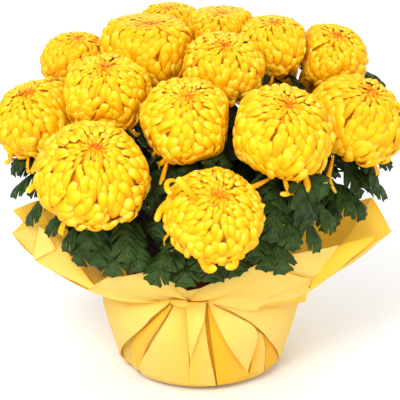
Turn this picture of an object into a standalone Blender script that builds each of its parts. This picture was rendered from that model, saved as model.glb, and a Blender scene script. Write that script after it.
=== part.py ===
"""A potted chrysanthemum with large incurved yellow blooms, wrapped in pale yellow florist's paper.

The pot stands in the middle of the wrap, with its axis on +Z and the front of the plant at -Y.
Seven rooted cuttings branch to nineteen blooms. Each bloom is a globe of petals in layers, each
cutting is one leafy stem, and pot, soil and wrap are turned and folded round them.
"""

import math
import random

import bmesh
import bpy
from mathutils import Matrix, Vector

MM = 0.001
GAP = 0.3 * MM
UP = Vector((0, 0, 1))

# The wrap, a thin sheet that the pot stands on.
WRAP_THICK = 0.8 * MM
WRAP_SEGMENTS = 40
PINCH_AZIMUTH = -7
PINCH_DEPTH = 13 * MM
PINCH_WIDTH = 9
FOLD_DEPTH = 3.4 * MM
FOLDS_ROUND = 13
FOLD_SPREAD = 26
COLLAR_SAG = 4 * MM

# The pot, a seven inch grower's pot.
POT_BASE_R = 62 * MM
POT_RIM_R = 87 * MM
POT_HEIGHT = 134 * MM
POT_WALL = 2.2 * MM
POT_LIP = 4 * MM
POT_LIP_HEIGHT = 14 * MM
POT_FLOOR = WRAP_THICK + GAP
DRAIN_HOLES = 4
DRAIN_RADIUS = 6 * MM
DRAIN_PITCH_R = 38 * MM

# The soil and the holes that the cuttings stand in.
SOIL_TOP = 116 * MM
SOIL_CROWN = 5 * MM
HOLE_DEPTH = 28 * MM
STEM_RING_R = 42 * MM

# Stems and leaves.
TRUNK_R = 4.5 * MM
BRANCH_R = 2.9 * MM
CALYX_R = 8 * MM
CALYX_HEIGHT = 9 * MM
LEAF_THICK = 1.1 * MM
BLOOM_CLEAR = 2.6 * MM
WRAP_CLEAR = 3.5 * MM
WEDGE_CLEAR = 1.2 * MM

# Blooms. Their upper and lower heights, and how far petal tips and valleys stand, lift and droop,
# are shares of the radius; the lifts and the droop are angles from the eye in radians.
PETALS_ROUND = 13
PETAL_RINGS = 10
CROWN_SHARE = 0.68
SKIRT_SHARE = 0.50
BASE_SHARE = 0.30
EYE_SHARE = 0.93
TIP_STAND = 0.99
TIP_GROWTH = 0.07
VALLEY_STAND = 0.96
VALLEY_DEPTH = 0.12
TIP_LIFT = 0.17
TIP_DROOP = 0.10
VALLEY_FALL = 0.10
SWIRL = 0.05
BODY_SHARE = 1.12

# Each bloom: its centre and radius in mm, its lean off the vertical and the way it faces, where
# 0 is the front and 90 the right.
BLOOMS = {
    "bloom_01": (-98, -125, 243, 53, 33, 8),
    "bloom_02": (12, -150, 213, 44, 37, 14),
    "bloom_03": (73, -105, 276, 49, 26, 22),
    "bloom_04": (-13, -93, 283, 43, 28, 6),
    "bloom_05": (-157, -25, 264, 42, 22, -45),
    "bloom_06": (-89, -46, 296, 41, 20, -6),
    "bloom_07": (-124, 45, 303, 34, 9, 20),
    "bloom_08": (-53, 25, 320, 47, 16, 18),
    "bloom_09": (-32, 97, 322, 34, 10, -30),
    "bloom_10": (21, -20, 314, 38, 27, 6),
    "bloom_11": (70, 32, 324, 35, 17, 20),
    "bloom_12": (130, 45, 308, 35, 25, 25),
    "bloom_13": (149, -30, 265, 47, 28, 55),
    "bloom_14": (20, 62, 330, 34, 15, 10),
    "bloom_15": (-112, 110, 272, 41, 30, -135),
    "bloom_16": (-24, 152, 262, 43, 36, -170),
    "bloom_17": (64, 132, 272, 42, 32, 158),
    "bloom_18": (135, 112, 256, 38, 36, 130),
    "bloom_19": (-165, 62, 244, 36, 34, -105),
}

# The edges of each cutting's sector of the pot, in degrees round from the front.
SECTORS = {
    "leafy_stem_1": (-24, 22, ("bloom_02", "bloom_04")),
    "leafy_stem_2": (22, 62, ("bloom_03", "bloom_10")),
    "leafy_stem_3": (62, 122, ("bloom_13", "bloom_12", "bloom_11")),
    "leafy_stem_4": (122, 176, ("bloom_18", "bloom_17", "bloom_14")),
    "leafy_stem_5": (176, 234, ("bloom_16", "bloom_09", "bloom_15")),
    "leafy_stem_6": (234, 288, ("bloom_05", "bloom_07", "bloom_08", "bloom_19")),
    "leafy_stem_7": (288, 336, ("bloom_01", "bloom_06")),
}

# Each leaf: the branch it grows on and how far up, its tip in mm, and its roll in degrees.
LEAVES = {
    "leafy_stem_1": (
        ("bloom_02", 0.50, (-47, -142, 140), -14),
        ("bloom_02", 0.42, (-15, -148, 139), 8),
        ("bloom_02", 0.46, (12, -148, 144), -6),
        ("bloom_02", 0.52, (36, -141, 148), 16),
        ("bloom_04", 0.40, (-44, -116, 178), -20),
        ("bloom_04", 0.44, (28, -114, 184), 20),
        ("bloom_04", 0.62, (-14, -124, 198), 0),
    ),
    "leafy_stem_2": (
        ("bloom_03", 0.44, (60, -136, 150), -16),
        ("bloom_03", 0.50, (78, -128, 144), 8),
        ("bloom_03", 0.60, (112, -102, 156), -4),
        ("bloom_03", 0.66, (128, -88, 172), 14),
        ("bloom_03", 0.74, (64, -134, 178), -22),
        ("bloom_03", 0.84, (100, -118, 186), 4),
    ),
    "leafy_stem_3": (
        ("bloom_13", 0.56, (146, -64, 178), -10),
        ("bloom_13", 0.70, (183, -30, 184), 4),
        ("bloom_13", 0.84, (188, -22, 214), 10),
        ("bloom_13", 0.62, (174, 18, 172), 10),
        ("bloom_12", 0.52, (150, 58, 184), 0),
        ("bloom_12", 0.66, (170, 44, 214), 14),
    ),
    "leafy_stem_4": (
        ("bloom_18", 0.56, (146, 96, 162), -10),
        ("bloom_18", 0.64, (116, 130, 164), 10),
        ("bloom_17", 0.56, (72, 150, 158), -10),
        ("bloom_17", 0.64, (36, 152, 164), 12),
        ("bloom_18", 0.84, (166, 108, 196), 0),
        ("bloom_17", 0.80, (90, 160, 196), 0),
    ),
    "leafy_stem_5": (
        ("bloom_16", 0.58, (8, 158, 160), -12),
        ("bloom_16", 0.66, (-36, 162, 158), 10),
        ("bloom_15", 0.56, (-74, 142, 158), -10),
        ("bloom_15", 0.62, (-112, 116, 164), 10),
        ("bloom_16", 0.80, (-56, 166, 192), 0),
        ("bloom_15", 0.80, (-124, 132, 200), 0),
    ),
    "leafy_stem_6": (
        ("bloom_05", 0.72, (-181, -20, 207), -10),
        ("bloom_05", 0.64, (-186, -38, 188), 6),
        ("bloom_05", 0.56, (-170, -48, 162), 10),
        ("bloom_19", 0.54, (-176, 14, 172), -8),
        ("bloom_19", 0.70, (-190, 46, 192), 6),
        ("bloom_19", 0.58, (-158, 80, 168), 10),
    ),
    "leafy_stem_7": (
        ("bloom_01", 0.52, (-150, -76, 166), -12),
        ("bloom_01", 0.60, (-131, -100, 156), 6),
        ("bloom_01", 0.68, (-116, -112, 146), -6),
        ("bloom_01", 0.56, (-82, -132, 143), 8),
        ("bloom_06", 0.44, (-66, -126, 156), 14),
        ("bloom_01", 0.84, (-104, -136, 172), -4),
    ),
}

# Half of a leaf's cut edge, as shares of its length along the rib and out from it: two side lobes
# and half the end lobe, each with a tooth, on a narrow stalk.
LEAF_EDGE = (
    (-0.30, 0.020),
    (0.02, 0.030),
    (0.22, 0.250),
    (0.33, 0.140),
    (0.53, 0.350),
    (0.60, 0.150),
    (0.82, 0.225),
)
LEAF_RIB = (0.02, 0.36, 0.70)
STALK_SHARE = 0.30

# The collar's edge: azimuth from the front in degrees, radius and height in mm.
COLLAR_EDGE = (
    (-172, 172, 172),
    (-150, 142, 140),
    (-120, 150, 128),
    (-97, 182, 156),
    (-89, 191, 142),
    (-75, 172, 130),
    (-50, 142, 114),
    (-38, 141, 136),
    (-20, 126, 143),
    (-7, 105, 118),
    (8, 112, 128),
    (28, 134, 150),
    (42, 138, 132),
    (56, 138, 118),
    (78, 174, 140),
    (90, 192, 138),
    (98, 176, 166),
    (120, 150, 132),
    (150, 140, 138),
    (180, 170, 176),
)

# The wrap's side, from foot to neck: radius and height in mm.
WRAP_SIDE = ((66, 0), (74, 1.2), (83, 9), (90, 34), (99, 64), (103, 90))


def start_empty():
    """Removes what the scene holds."""
    for item in list(bpy.data.objects):
        bpy.data.objects.remove(item, do_unlink=True)


def new_collection(name):
    """Adds a collection to the scene."""
    collection = bpy.data.collections.new(name)
    bpy.context.scene.collection.children.link(collection)
    return collection


def finish_material(name, colour, roughness):
    """Makes a Principled material."""
    material = bpy.data.materials.new(name)
    material.use_nodes = True
    shader = material.node_tree.nodes["Principled BSDF"]
    shader.inputs["Base Color"].default_value = (*colour, 1)
    shader.inputs["Roughness"].default_value = roughness
    shader.inputs["Metallic"].default_value = 0
    return material


def add_object(name, bm, collection, material):
    """Turns a bmesh into a named object and links it."""
    mesh = bpy.data.meshes.new(name)
    bm.to_mesh(mesh)
    bm.free()
    item = bpy.data.objects.new(name, mesh)
    collection.objects.link(item)
    mesh.materials.append(material)
    return item


def direction(azimuth):
    """A level unit vector at an azimuth in degrees, 0 to the front and 90 to the right."""
    turn = math.radians(azimuth)
    return Vector((math.sin(turn), -math.cos(turn), 0))


def smooth(value):
    """Eases a share from 0 to 1."""
    value = min(1, max(0, value))
    return value * value * (3 - 2 * value)


# Blooms


def bloom_frame(name):
    """A bloom's centre, radius and axes, with its own Z through the eye."""
    x, y, z, radius, lean, heading = BLOOMS[name]
    axis = direction(heading) * math.sin(math.radians(lean))
    axis = (axis + UP * math.cos(math.radians(lean))).normalized()
    turn = UP.rotation_difference(axis).to_matrix()
    return Vector((x, y, z)) * MM, radius * MM, axis, turn


def reach(name, towards):
    """How far a bloom's plain spheroid reaches along a unit direction."""
    _, radius, axis, _ = bloom_frame(name)
    along = axis.dot(towards)
    share = CROWN_SHARE if along > 0 else SKIRT_SHARE
    return radius * math.sqrt(1 - along * along * (1 - share * share))


def walls(name):
    """The planes where a bloom presses on its neighbours: a normal and a distance each."""
    centre = bloom_frame(name)[0]
    found = []
    for other in BLOOMS:
        if other == name:
            continue
        away = bloom_frame(other)[0] - centre
        distance = away.length
        away.normalize()
        mine = reach(name, away)
        theirs = reach(other, -away)
        if mine + theirs > 0.8 * distance:
            share = 0.5 + 0.5 * (mine * mine - theirs * theirs) / (distance * distance)
            found.append((away, distance * share - GAP))
    return found


def pressed(offset, planes):
    """Squeezes a point, given from the bloom's centre, so that it stays inside every plane."""
    for normal, limit in planes:
        along = offset.dot(normal)
        soft = 0.72 * limit
        if along > soft:
            room = limit - soft
            squeezed = soft + room * (1 - math.exp(-(along - soft) / room))
            offset = offset + normal * (squeezed - along)
    return offset


def petal_point(ring, step, radius, draw):
    """A point of the petal lattice in the bloom's own frame.

    Petal tips and the valleys between them take turns round each ring, and shift by half a petal
    from ring to ring, as overlapping petals do. Crown tips lift towards the eye, and skirt tips
    droop outwards.
    """
    fall = ring / PETAL_RINGS
    polar = math.pi * fall ** 1.08
    turn = math.pi * step / PETALS_ROUND + SWIRL * ring
    skirt = smooth((fall - 0.62) / 0.2)
    if ring == PETAL_RINGS - 1:
        return Vector((BASE_SHARE * math.cos(turn), BASE_SHARE * math.sin(turn), -SKIRT_SHARE)) * radius
    if (ring + step) % 2 == 0:
        stand = TIP_STAND + TIP_GROWTH * smooth(fall / 0.4) + draw.uniform(-0.02, 0.03)
        stand += skirt * draw.uniform(-0.02, 0.12)
        polar += (TIP_DROOP * skirt - TIP_LIFT * (1 - skirt)) * smooth(fall / 0.25)
        turn += draw.uniform(-SWIRL, SWIRL)
    else:
        stand = VALLEY_STAND - VALLEY_DEPTH * smooth(fall / 0.3)
        polar += VALLEY_FALL * (1 - skirt)
    out = stand * math.sin(polar) ** 0.9
    rise = stand * math.cos(polar)
    rise *= CROWN_SHARE if rise > 0 else SKIRT_SHARE
    return Vector((out * math.cos(turn), out * math.sin(turn), rise)) * radius


def make_bloom(name, collection, material):
    """One bloom: a globe of petal tips and valleys, pressed against its neighbours."""
    centre, radius, _, turn = bloom_frame(name)
    planes = walls(name)
    draw = random.Random(name)
    bm = bmesh.new()
    segments = 2 * PETALS_ROUND
    bmesh.ops.create_uvsphere(bm, u_segments=segments, v_segments=PETAL_RINGS, radius=1)
    for vertex in bm.verts:
        ring = round(math.acos(max(-1, min(1, vertex.co.z))) / math.pi * PETAL_RINGS)
        step = round(math.atan2(vertex.co.y, vertex.co.x) / math.tau * segments) % segments
        if ring == 0:
            point = Vector((0, 0, EYE_SHARE * CROWN_SHARE)) * radius
        elif ring == PETAL_RINGS:
            point = Vector((0, 0, -SKIRT_SHARE)) * radius
        else:
            point = petal_point(ring, step, radius, draw)
        vertex.co = centre + pressed(turn @ point, planes)
    bmesh.ops.triangulate(bm, faces=bm.faces)
    return add_object(name, bm, collection, material)


# Wrap


def collar_edge(azimuth):
    """The collar's radius and height at an azimuth, straight between the points of its edge."""
    azimuth = (azimuth + 180) % 360 - 180
    points = COLLAR_EDGE
    before, after = points[-1], points[0]
    for index in range(1, len(points)):
        if points[index - 1][0] <= azimuth < points[index][0]:
            before, after = points[index - 1], points[index]
    width = (after[0] - before[0]) % 360
    share = ((azimuth - before[0]) % 360) / width
    radius = before[1] + share * (after[1] - before[1])
    height = before[2] + share * (after[2] - before[2])
    return radius * MM, height * MM


def pleat(azimuth, level):
    """How far a fold moves the wrap's side in or out; the folds fan from the pinch."""
    away = (azimuth - PINCH_AZIMUTH + 180) % 360 - 180
    near = math.exp(-((away / FOLD_SPREAD) ** 2))
    dip = PINCH_DEPTH * math.exp(-((away / PINCH_WIDTH) ** 2)) * level * level
    folds = FOLD_DEPTH * math.sin(math.radians(away) * FOLDS_ROUND) * (0.3 + near)
    return folds * math.sin(math.pi * min(1, 0.15 + 0.8 * level)) - dip


def wrap_point(azimuth, level):
    """A point of the wrap's outer face: level 0 at the foot, 1 at the neck and 2 at the edge."""
    side = WRAP_SIDE
    if level <= 1:
        place = level * (len(side) - 1)
        index = min(int(place), len(side) - 2)
        share = place - index
        radius = (side[index][0] + share * (side[index + 1][0] - side[index][0])) * MM
        height = (side[index][1] + share * (side[index + 1][1] - side[index][1])) * MM
        return radius + pleat(azimuth, level) * smooth(4 * level), height
    edge_radius, edge_height = collar_edge(azimuth)
    neck_radius = side[-1][0] * MM + pleat(azimuth, 1)
    neck_height = side[-1][1] * MM
    share = level - 1
    sag = COLLAR_SAG * math.sin(math.pi * share)
    radius = neck_radius + share * (edge_radius - neck_radius) + sag
    height = neck_height + share * (edge_height - neck_height) - sag
    return radius, height


def make_wrap(collection, material):
    """The wrap: an open folded sheet with a flat foot, given its thickness inwards."""
    levels = (0, 0.2, 0.4, 0.7, 1, 1.35, 1.7, 2)
    bm = bmesh.new()
    rings = []
    for level in levels:
        ring = []
        for step in range(WRAP_SEGMENTS):
            azimuth = 360 * step / WRAP_SEGMENTS
            radius, height = wrap_point(azimuth, level)
            ring.append(bm.verts.new(direction(azimuth) * radius + UP * height))
        rings.append(ring)
    bm.faces.new(reversed(rings[0]))
    for lower, upper in zip(rings, rings[1:]):
        for step in range(WRAP_SEGMENTS):
            after = (step + 1) % WRAP_SEGMENTS
            bm.faces.new((lower[step], lower[after], upper[after], upper[step]))
    bmesh.ops.triangulate(bm, faces=bm.faces)
    bmesh.ops.recalc_face_normals(bm, faces=bm.faces)
    item = add_object("wrap", bm, collection, material)
    shell = item.modifiers.new("thickness", "SOLIDIFY")
    shell.thickness = WRAP_THICK
    shell.offset = -1
    shell.use_even_offset = True
    return item


def collar_height(point):
    """The height of the wrap's collar under or over a point, or None outside its edge."""
    azimuth = math.degrees(math.atan2(point.x, -point.y))
    out = math.hypot(point.x, point.y)
    neck_radius, neck_height = wrap_point(azimuth, 1)
    edge_radius, edge_height = collar_edge(azimuth)
    if out > edge_radius + 4 * MM or out < neck_radius:
        return None
    share = min(1, (out - neck_radius) / (edge_radius - neck_radius))
    return neck_height + share * (edge_height - neck_height)


# Pot and soil


def turned(name, profile, steps, collection, material):
    """A shape turned round Z, from a profile that starts and ends on the axis."""
    bm = bmesh.new()
    points = [bm.verts.new((radius, 0, height)) for radius, height in profile]
    for start, end in zip(points, points[1:]):
        bm.edges.new((start, end))
    item = add_object(name, bm, collection, material)
    screw = item.modifiers.new("turn", "SCREW")
    screw.steps = steps
    screw.render_steps = steps
    screw.use_merge_vertices = True
    screw.merge_threshold = 0.00001
    screw.use_smooth_shade = False
    return item


def pot_radius(height):
    """The pot's outer radius at a height above its underside."""
    return POT_BASE_R + (POT_RIM_R - POT_LIP - POT_BASE_R) * height / POT_HEIGHT


def make_pot(collection, cutters, material):
    """The grower's pot: a tapered wall, a thick lip and a floor with drain holes."""
    shoulder = POT_HEIGHT - POT_LIP_HEIGHT
    profile = [
        (0, POT_WALL),
        (POT_BASE_R - POT_WALL, POT_WALL),
        (pot_radius(POT_HEIGHT) - POT_WALL, POT_HEIGHT),
        (POT_RIM_R, POT_HEIGHT),
        (POT_RIM_R, shoulder),
        (pot_radius(shoulder), shoulder),
        (POT_BASE_R, 0),
        (0, 0),
    ]
    item = turned("pot", profile, 24, collection, material)
    item.location.z = POT_FLOOR
    for index in range(DRAIN_HOLES):
        bm = bmesh.new()
        bmesh.ops.create_cone(
            bm, cap_ends=True, segments=8, radius1=DRAIN_RADIUS, radius2=DRAIN_RADIUS,
            depth=6 * POT_WALL,
        )
        cutter = add_object(f"drain_cutter_{index + 1}", bm, cutters, material)
        place = direction(45 + 360 * index / DRAIN_HOLES) * DRAIN_PITCH_R
        cutter.location = place + UP * (POT_FLOOR + POT_WALL / 2)
        cut_from(item, cutter)
    return item


def cut_from(item, cutter):
    """Cuts one object out of another, and shows the cutter as a guide only."""
    cutter.hide_render = True
    cutter.display_type = "WIRE"
    cut = item.modifiers.new(cutter.name, "BOOLEAN")
    cut.operation = "DIFFERENCE"
    cut.object = cutter


def make_soil(collection, cutters, material):
    """The potting soil: it fills the pot, its top is crowned, and each cutting has a hole."""
    floor = POT_WALL + GAP
    top = SOIL_TOP - POT_FLOOR
    profile = [
        (0, top + SOIL_CROWN),
        (0.5 * POT_BASE_R, top + 0.8 * SOIL_CROWN),
        (pot_radius(top) - POT_WALL - 2 * GAP, top),
        (pot_radius(floor) - POT_WALL - 2 * GAP, floor),
        (0, floor),
    ]
    item = turned("soil", profile, 24, collection, material)
    item.location.z = POT_FLOOR
    for name in SECTORS:
        bm = bmesh.new()
        bmesh.ops.create_cone(
            bm, cap_ends=True, segments=8, radius1=TRUNK_R + 3 * GAP, radius2=TRUNK_R + 3 * GAP,
            depth=2 * HOLE_DEPTH,
        )
        cutter = add_object(f"{name}_hole", bm, cutters, material)
        cutter.location = trunk_foot(name) + UP * (HOLE_DEPTH - GAP)
        cut_from(item, cutter)
    return item


# Leafy stems


def trunk_foot(name):
    """The bottom of a cutting's stem, in the soil."""
    start, end, _ = SECTORS[name]
    spot = direction((start + end) / 2) * STEM_RING_R
    return spot + UP * (SOIL_TOP + 0.6 * SOIL_CROWN - HOLE_DEPTH)


def branch_end(bloom):
    """The underside of a bloom, where its branch ends."""
    centre, radius, axis, _ = bloom_frame(bloom)
    return centre - axis * (radius * SKIRT_SHARE + GAP)


def branch_point(name, bloom, share):
    """A point of a branch: a smooth curve from the cutting's stem to a bloom's underside."""
    start = trunk_foot(name) + UP * (HOLE_DEPTH + 8 * MM)
    end = branch_end(bloom)
    axis = bloom_frame(bloom)[2]
    span = (end - start).length
    first = start + UP * (0.52 * span)
    second = end - axis * (0.30 * span)
    rest = 1 - share
    return (
        start * rest ** 3 + first * (3 * share * rest ** 2)
        + second * (3 * share ** 2 * rest) + end * share ** 3
    )


def tube(name, points, radii, collection, material):
    """A stem as a round curve with capped ends, turned into a closed mesh."""
    curve = bpy.data.curves.new(name, "CURVE")
    curve.dimensions = "3D"
    curve.bevel_depth = 1
    curve.bevel_resolution = 1
    curve.use_fill_caps = True
    spline = curve.splines.new("POLY")
    spline.points.add(len(points) - 1)
    for place, point, radius in zip(spline.points, points, radii):
        place.co = (*point, 1)
        place.radius = radius
    rod = bpy.data.objects.new(name, curve)
    collection.objects.link(rod)
    bpy.context.view_layer.update()
    mesh = bpy.data.meshes.new_from_object(rod.evaluated_get(bpy.context.evaluated_depsgraph_get()))
    bpy.data.objects.remove(rod, do_unlink=True)
    bm = bmesh.new()
    bm.from_mesh(mesh)
    bpy.data.meshes.remove(mesh)
    bmesh.ops.remove_doubles(bm, verts=bm.verts, dist=0.01 * MM)
    bmesh.ops.recalc_face_normals(bm, faces=bm.faces)
    bmesh.ops.triangulate(bm, faces=bm.faces)
    return add_object(name, bm, collection, material)


def bent_clear(point, sector):
    """Moves a leaf's point off the blooms, above the wrap's collar and into its own sector."""
    for bloom in BLOOMS:
        centre, radius, axis, _ = bloom_frame(bloom)
        offset = point - centre
        along = offset.dot(axis)
        across = offset - axis * along
        tall = BODY_SHARE * radius * (CROWN_SHARE if along > 0 else SKIRT_SHARE) + BLOOM_CLEAR
        wide = BODY_SHARE * radius + BLOOM_CLEAR
        depth = math.sqrt((along / tall) ** 2 + (across.length / wide) ** 2)
        if depth < 1:
            drop = tall * math.sqrt(max(0, 1 - (across.length / wide) ** 2))
            point = centre + across - axis * drop
    height = collar_height(point)
    if height is not None:
        point = Vector((point.x, point.y, max(point.z, height + WRAP_CLEAR)))
    start, end, _ = SECTORS[sector]
    for azimuth, side in ((start, 1), (end, -1)):
        inward = direction(azimuth + 90) * side
        depth = point.dot(inward)
        if depth < WEDGE_CLEAR:
            point = point + inward * (WEDGE_CLEAR - depth)
    return point


def leaf_place(root, tip, roll, along, out):
    """A point of a leaf's face: along its rib from root to tip, and out to one side."""
    line = tip - root
    length = line.length / (1 + STALK_SHARE)
    line.normalize()
    side = line.cross(UP).normalized()
    face = side.cross(line)
    turn = Matrix.Rotation(math.radians(roll), 3, line)
    side, face = turn @ side, turn @ face
    share = (along + STALK_SHARE) / (1 + STALK_SHARE)
    arch = 0.16 * math.sin(math.pi * share) + 0.10 * abs(out) * math.sin(9 * along)
    start = root + line * ((along + STALK_SHARE) * length)
    return start + side * (out * length) + face * ((arch - 0.22 * abs(out)) * length)


def make_leaf(name, sector, leaf, collection, material):
    """A leaf blade with its stalk, from a cut outline that is split alike on both faces."""
    bloom, share, tip, roll = leaf
    root = branch_point(sector, bloom, share)
    tip = Vector(tip) * MM

    def place(along, out):
        point = leaf_place(root, tip, roll, along, out)
        return point if along < 0 else bent_clear(point, sector)

    bm = bmesh.new()
    end = bm.verts.new(place(1, 0))
    rib = [bm.verts.new(place(along, 0)) for along in LEAF_RIB]
    stalk = bm.verts.new(place(LEAF_EDGE[0][0], 0))
    for side in (1, -1):
        edge = [bm.verts.new(place(along, side * out)) for along, out in LEAF_EDGE]
        outline = [stalk, *edge, end, *reversed(rib)]
        bm.faces.new(outline if side < 0 else list(reversed(outline)))
    bmesh.ops.triangulate(bm, faces=bm.faces)
    bmesh.ops.recalc_face_normals(bm, faces=bm.faces)
    bmesh.ops.solidify(bm, geom=bm.faces[:], thickness=LEAF_THICK)
    bmesh.ops.recalc_face_normals(bm, faces=bm.faces)
    return add_object(name, bm, collection, material)


def join_pieces(item, pieces):
    """Joins a collection's closed pieces to an object with one Boolean union, then drops them."""
    union = item.modifiers.new("union", "BOOLEAN")
    union.operation = "UNION"
    union.operand_type = "COLLECTION"
    union.collection = pieces
    union.solver = "MANIFOLD"
    bpy.context.view_layer.update()
    graph = bpy.context.evaluated_depsgraph_get()
    mesh = bpy.data.meshes.new_from_object(item.evaluated_get(graph))
    item.modifiers.remove(union)
    item.data = mesh
    for piece in list(pieces.objects):
        bpy.data.objects.remove(piece, do_unlink=True)
    bpy.data.collections.remove(pieces)


def make_leafy_stem(name, collection, material):
    """One cutting: its stem in the soil, a branch to each of its blooms, and its leaves."""
    blooms = SECTORS[name][2]
    foot = trunk_foot(name)
    top = foot + UP * (HOLE_DEPTH + 12 * MM)
    item = tube(name, (foot, top), (TRUNK_R, TRUNK_R), collection, material)
    pieces = new_collection(f"{name}_pieces")
    for bloom in blooms:
        points = [branch_point(name, bloom, share) for share in (0, 0.25, 0.5, 0.78)]
        end = branch_end(bloom)
        points += [end - bloom_frame(bloom)[2] * CALYX_HEIGHT, end]
        radii = [BRANCH_R] * 5 + [CALYX_R]
        tube(f"{name}_{bloom}", points, radii, pieces, material)
    for index, leaf in enumerate(LEAVES[name]):
        make_leaf(f"{name}_leaf_{index + 1}", name, leaf, pieces, material)
    join_pieces(item, pieces)
    return item


def main():
    """Builds the plant, the pot, the soil and the wrap."""
    start_empty()
    parts = new_collection("pot_chrysanthemum")
    cutters = new_collection("cutters")
    petal = finish_material("petal", (0.95, 0.70, 0.03), 0.55)
    leaf = finish_material("leaf", (0.04, 0.11, 0.03), 0.5)
    paper = finish_material("paper", (0.98, 0.75, 0.30), 0.7)
    plastic = finish_material("pot_plastic", (0.10, 0.06, 0.04), 0.5)
    earth = finish_material("earth", (0.05, 0.03, 0.02), 0.95)
    make_wrap(parts, paper)
    make_pot(parts, cutters, plastic)
    make_soil(parts, cutters, earth)
    for name in SECTORS:
        make_leafy_stem(name, parts, leaf)
    for name in BLOOMS:
        make_bloom(name, parts, petal)


main()
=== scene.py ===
# %% [markdown]
# # A potted chrysanthemum in florist's paper
# The real thing is a pot plant of the incurved kind: seven rooted cuttings share one pot, each
# cutting branches to a few big globe blooms, and a square sheet of soft yellow paper is gathered
# round the pot and pinched at the front.
#
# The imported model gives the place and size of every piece. It could be dressed with materials alone,
# but its petals and leaves are only the coarse form. So each bloom, each leafy stem and the paper
# are modelled again here, finer, in the same place, and the pot and the soil keep their solids.

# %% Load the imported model
import math
import random

import bpy
import numpy as np
from mathutils import Matrix, Vector


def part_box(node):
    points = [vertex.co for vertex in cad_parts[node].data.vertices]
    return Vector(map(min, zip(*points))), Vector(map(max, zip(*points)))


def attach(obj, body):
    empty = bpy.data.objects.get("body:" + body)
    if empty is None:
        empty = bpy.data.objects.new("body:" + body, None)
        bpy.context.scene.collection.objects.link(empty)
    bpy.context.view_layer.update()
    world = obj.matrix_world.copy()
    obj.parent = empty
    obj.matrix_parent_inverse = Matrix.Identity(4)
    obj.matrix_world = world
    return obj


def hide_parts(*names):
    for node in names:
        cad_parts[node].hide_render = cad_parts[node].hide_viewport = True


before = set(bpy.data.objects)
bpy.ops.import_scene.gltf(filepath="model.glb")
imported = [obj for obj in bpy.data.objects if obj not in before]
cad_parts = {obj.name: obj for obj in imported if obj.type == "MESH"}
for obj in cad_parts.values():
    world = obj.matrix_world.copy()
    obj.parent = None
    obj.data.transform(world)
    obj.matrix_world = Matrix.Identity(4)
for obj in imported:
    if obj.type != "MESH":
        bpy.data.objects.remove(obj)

MM = 0.001
UP = Vector((0, 0, 1))
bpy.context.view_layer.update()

# %% [markdown]
# ## Camera, floor and light
# A studio photo of a plant has a pale sweep for a floor, one large soft light above and in front,
# and paler fill from the sides. The camera looks down on the plant by twenty degrees, through a long
# lens, so near and far blooms keep almost the same scale. The camera comes first because every shape
# below is judged through it.

# %% The camera
LOOK_AT = Vector((0, 0, 0.172))
CAMERA_AWAY = 1.6
CAMERA_RISE = math.radians(20)
FRAME_WIDTH = 0.4


def add_camera():
    """Adds the camera in front of the plant, aimed at its middle."""
    back = Vector((0, -math.cos(CAMERA_RISE), math.sin(CAMERA_RISE)))
    aim = (-back).to_track_quat("-Z", "Y").to_euler()
    bpy.ops.object.camera_add(location=LOOK_AT + back * CAMERA_AWAY, rotation=aim)
    camera = bpy.context.object
    camera.name = "camera"
    camera.data.sensor_width = 36
    camera.data.lens = 36 * CAMERA_AWAY / FRAME_WIDTH
    camera.data.shift_x = -0.0025
    bpy.context.scene.camera = camera
    return camera


camera = add_camera()
bpy.context.scene.view_settings.view_transform = "Standard"
print("camera at", tuple(round(value, 3) for value in camera.location), "with a lens of", camera.data.lens)

# %% Helpers for working on one piece at a time


def pick(piece):
    """Selects one piece alone and makes it the active one."""
    bpy.ops.object.select_all(action="DESELECT")
    piece.select_set(True)
    bpy.context.view_layer.objects.active = piece


def choose(piece, wanted):
    """Goes to edit mode with only the points selected whose place fits."""
    bpy.ops.object.mode_set(mode="OBJECT")
    mesh = piece.data
    mesh.polygons.foreach_set("select", [False] * len(mesh.polygons))
    mesh.edges.foreach_set("select", [False] * len(mesh.edges))
    mesh.vertices.foreach_set("select", [wanted(point.co) for point in mesh.vertices])
    bpy.ops.object.mode_set(mode="EDIT")
    bpy.ops.mesh.select_mode(type="VERT")


def settle(piece):
    """Leaves edit mode and applies the piece's place, turn and size to its mesh."""
    if bpy.context.object and bpy.context.object.mode != "OBJECT":
        bpy.ops.object.mode_set(mode="OBJECT")
    pick(piece)
    bpy.ops.object.transform_apply(location=True, rotation=True, scale=True)


def apply_modifier(piece, kind, **values):
    """Adds a modifier with the given values and applies it."""
    pick(piece)
    modifier = piece.modifiers.new(kind.lower(), kind)
    for key, value in values.items():
        setattr(modifier, key, value)
    bpy.ops.object.modifier_apply(modifier=modifier.name)


def triangles(piece):
    """How many triangles a piece's mesh holds."""
    piece.data.calc_loop_triangles()
    return len(piece.data.loop_triangles)


def join_all(name, pieces):
    """Joins pieces into the first one and names it."""
    pick(pieces[0])
    for piece in pieces[1:]:
        piece.select_set(True)
    if len(pieces) > 1:
        bpy.ops.object.join()
    pieces[0].name = name
    pieces[0].data.name = name
    return pieces[0]


print("helpers: pick, choose, settle, apply_modifier, triangles, join_all")

# %% The floor and the lights


def add_floor():
    """A pale sweep: a plane whose far edge is extruded up through a soft bend."""
    bpy.ops.object.select_all(action="DESELECT")
    bpy.ops.mesh.primitive_plane_add(size=6, location=(0, 0, 0))
    floor = bpy.context.object
    floor.name = "floor"
    choose(floor, lambda place: place.y > 0)
    for rise in range(1, 7):
        turn = math.radians(15 * rise - 7.5)
        step = Vector((0, math.cos(turn), math.sin(turn))) * 0.5
        bpy.ops.mesh.extrude_region_move(TRANSFORM_OT_translate={"value": step})
    settle(floor)
    floor.data.shade_smooth()
    return floor


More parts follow.
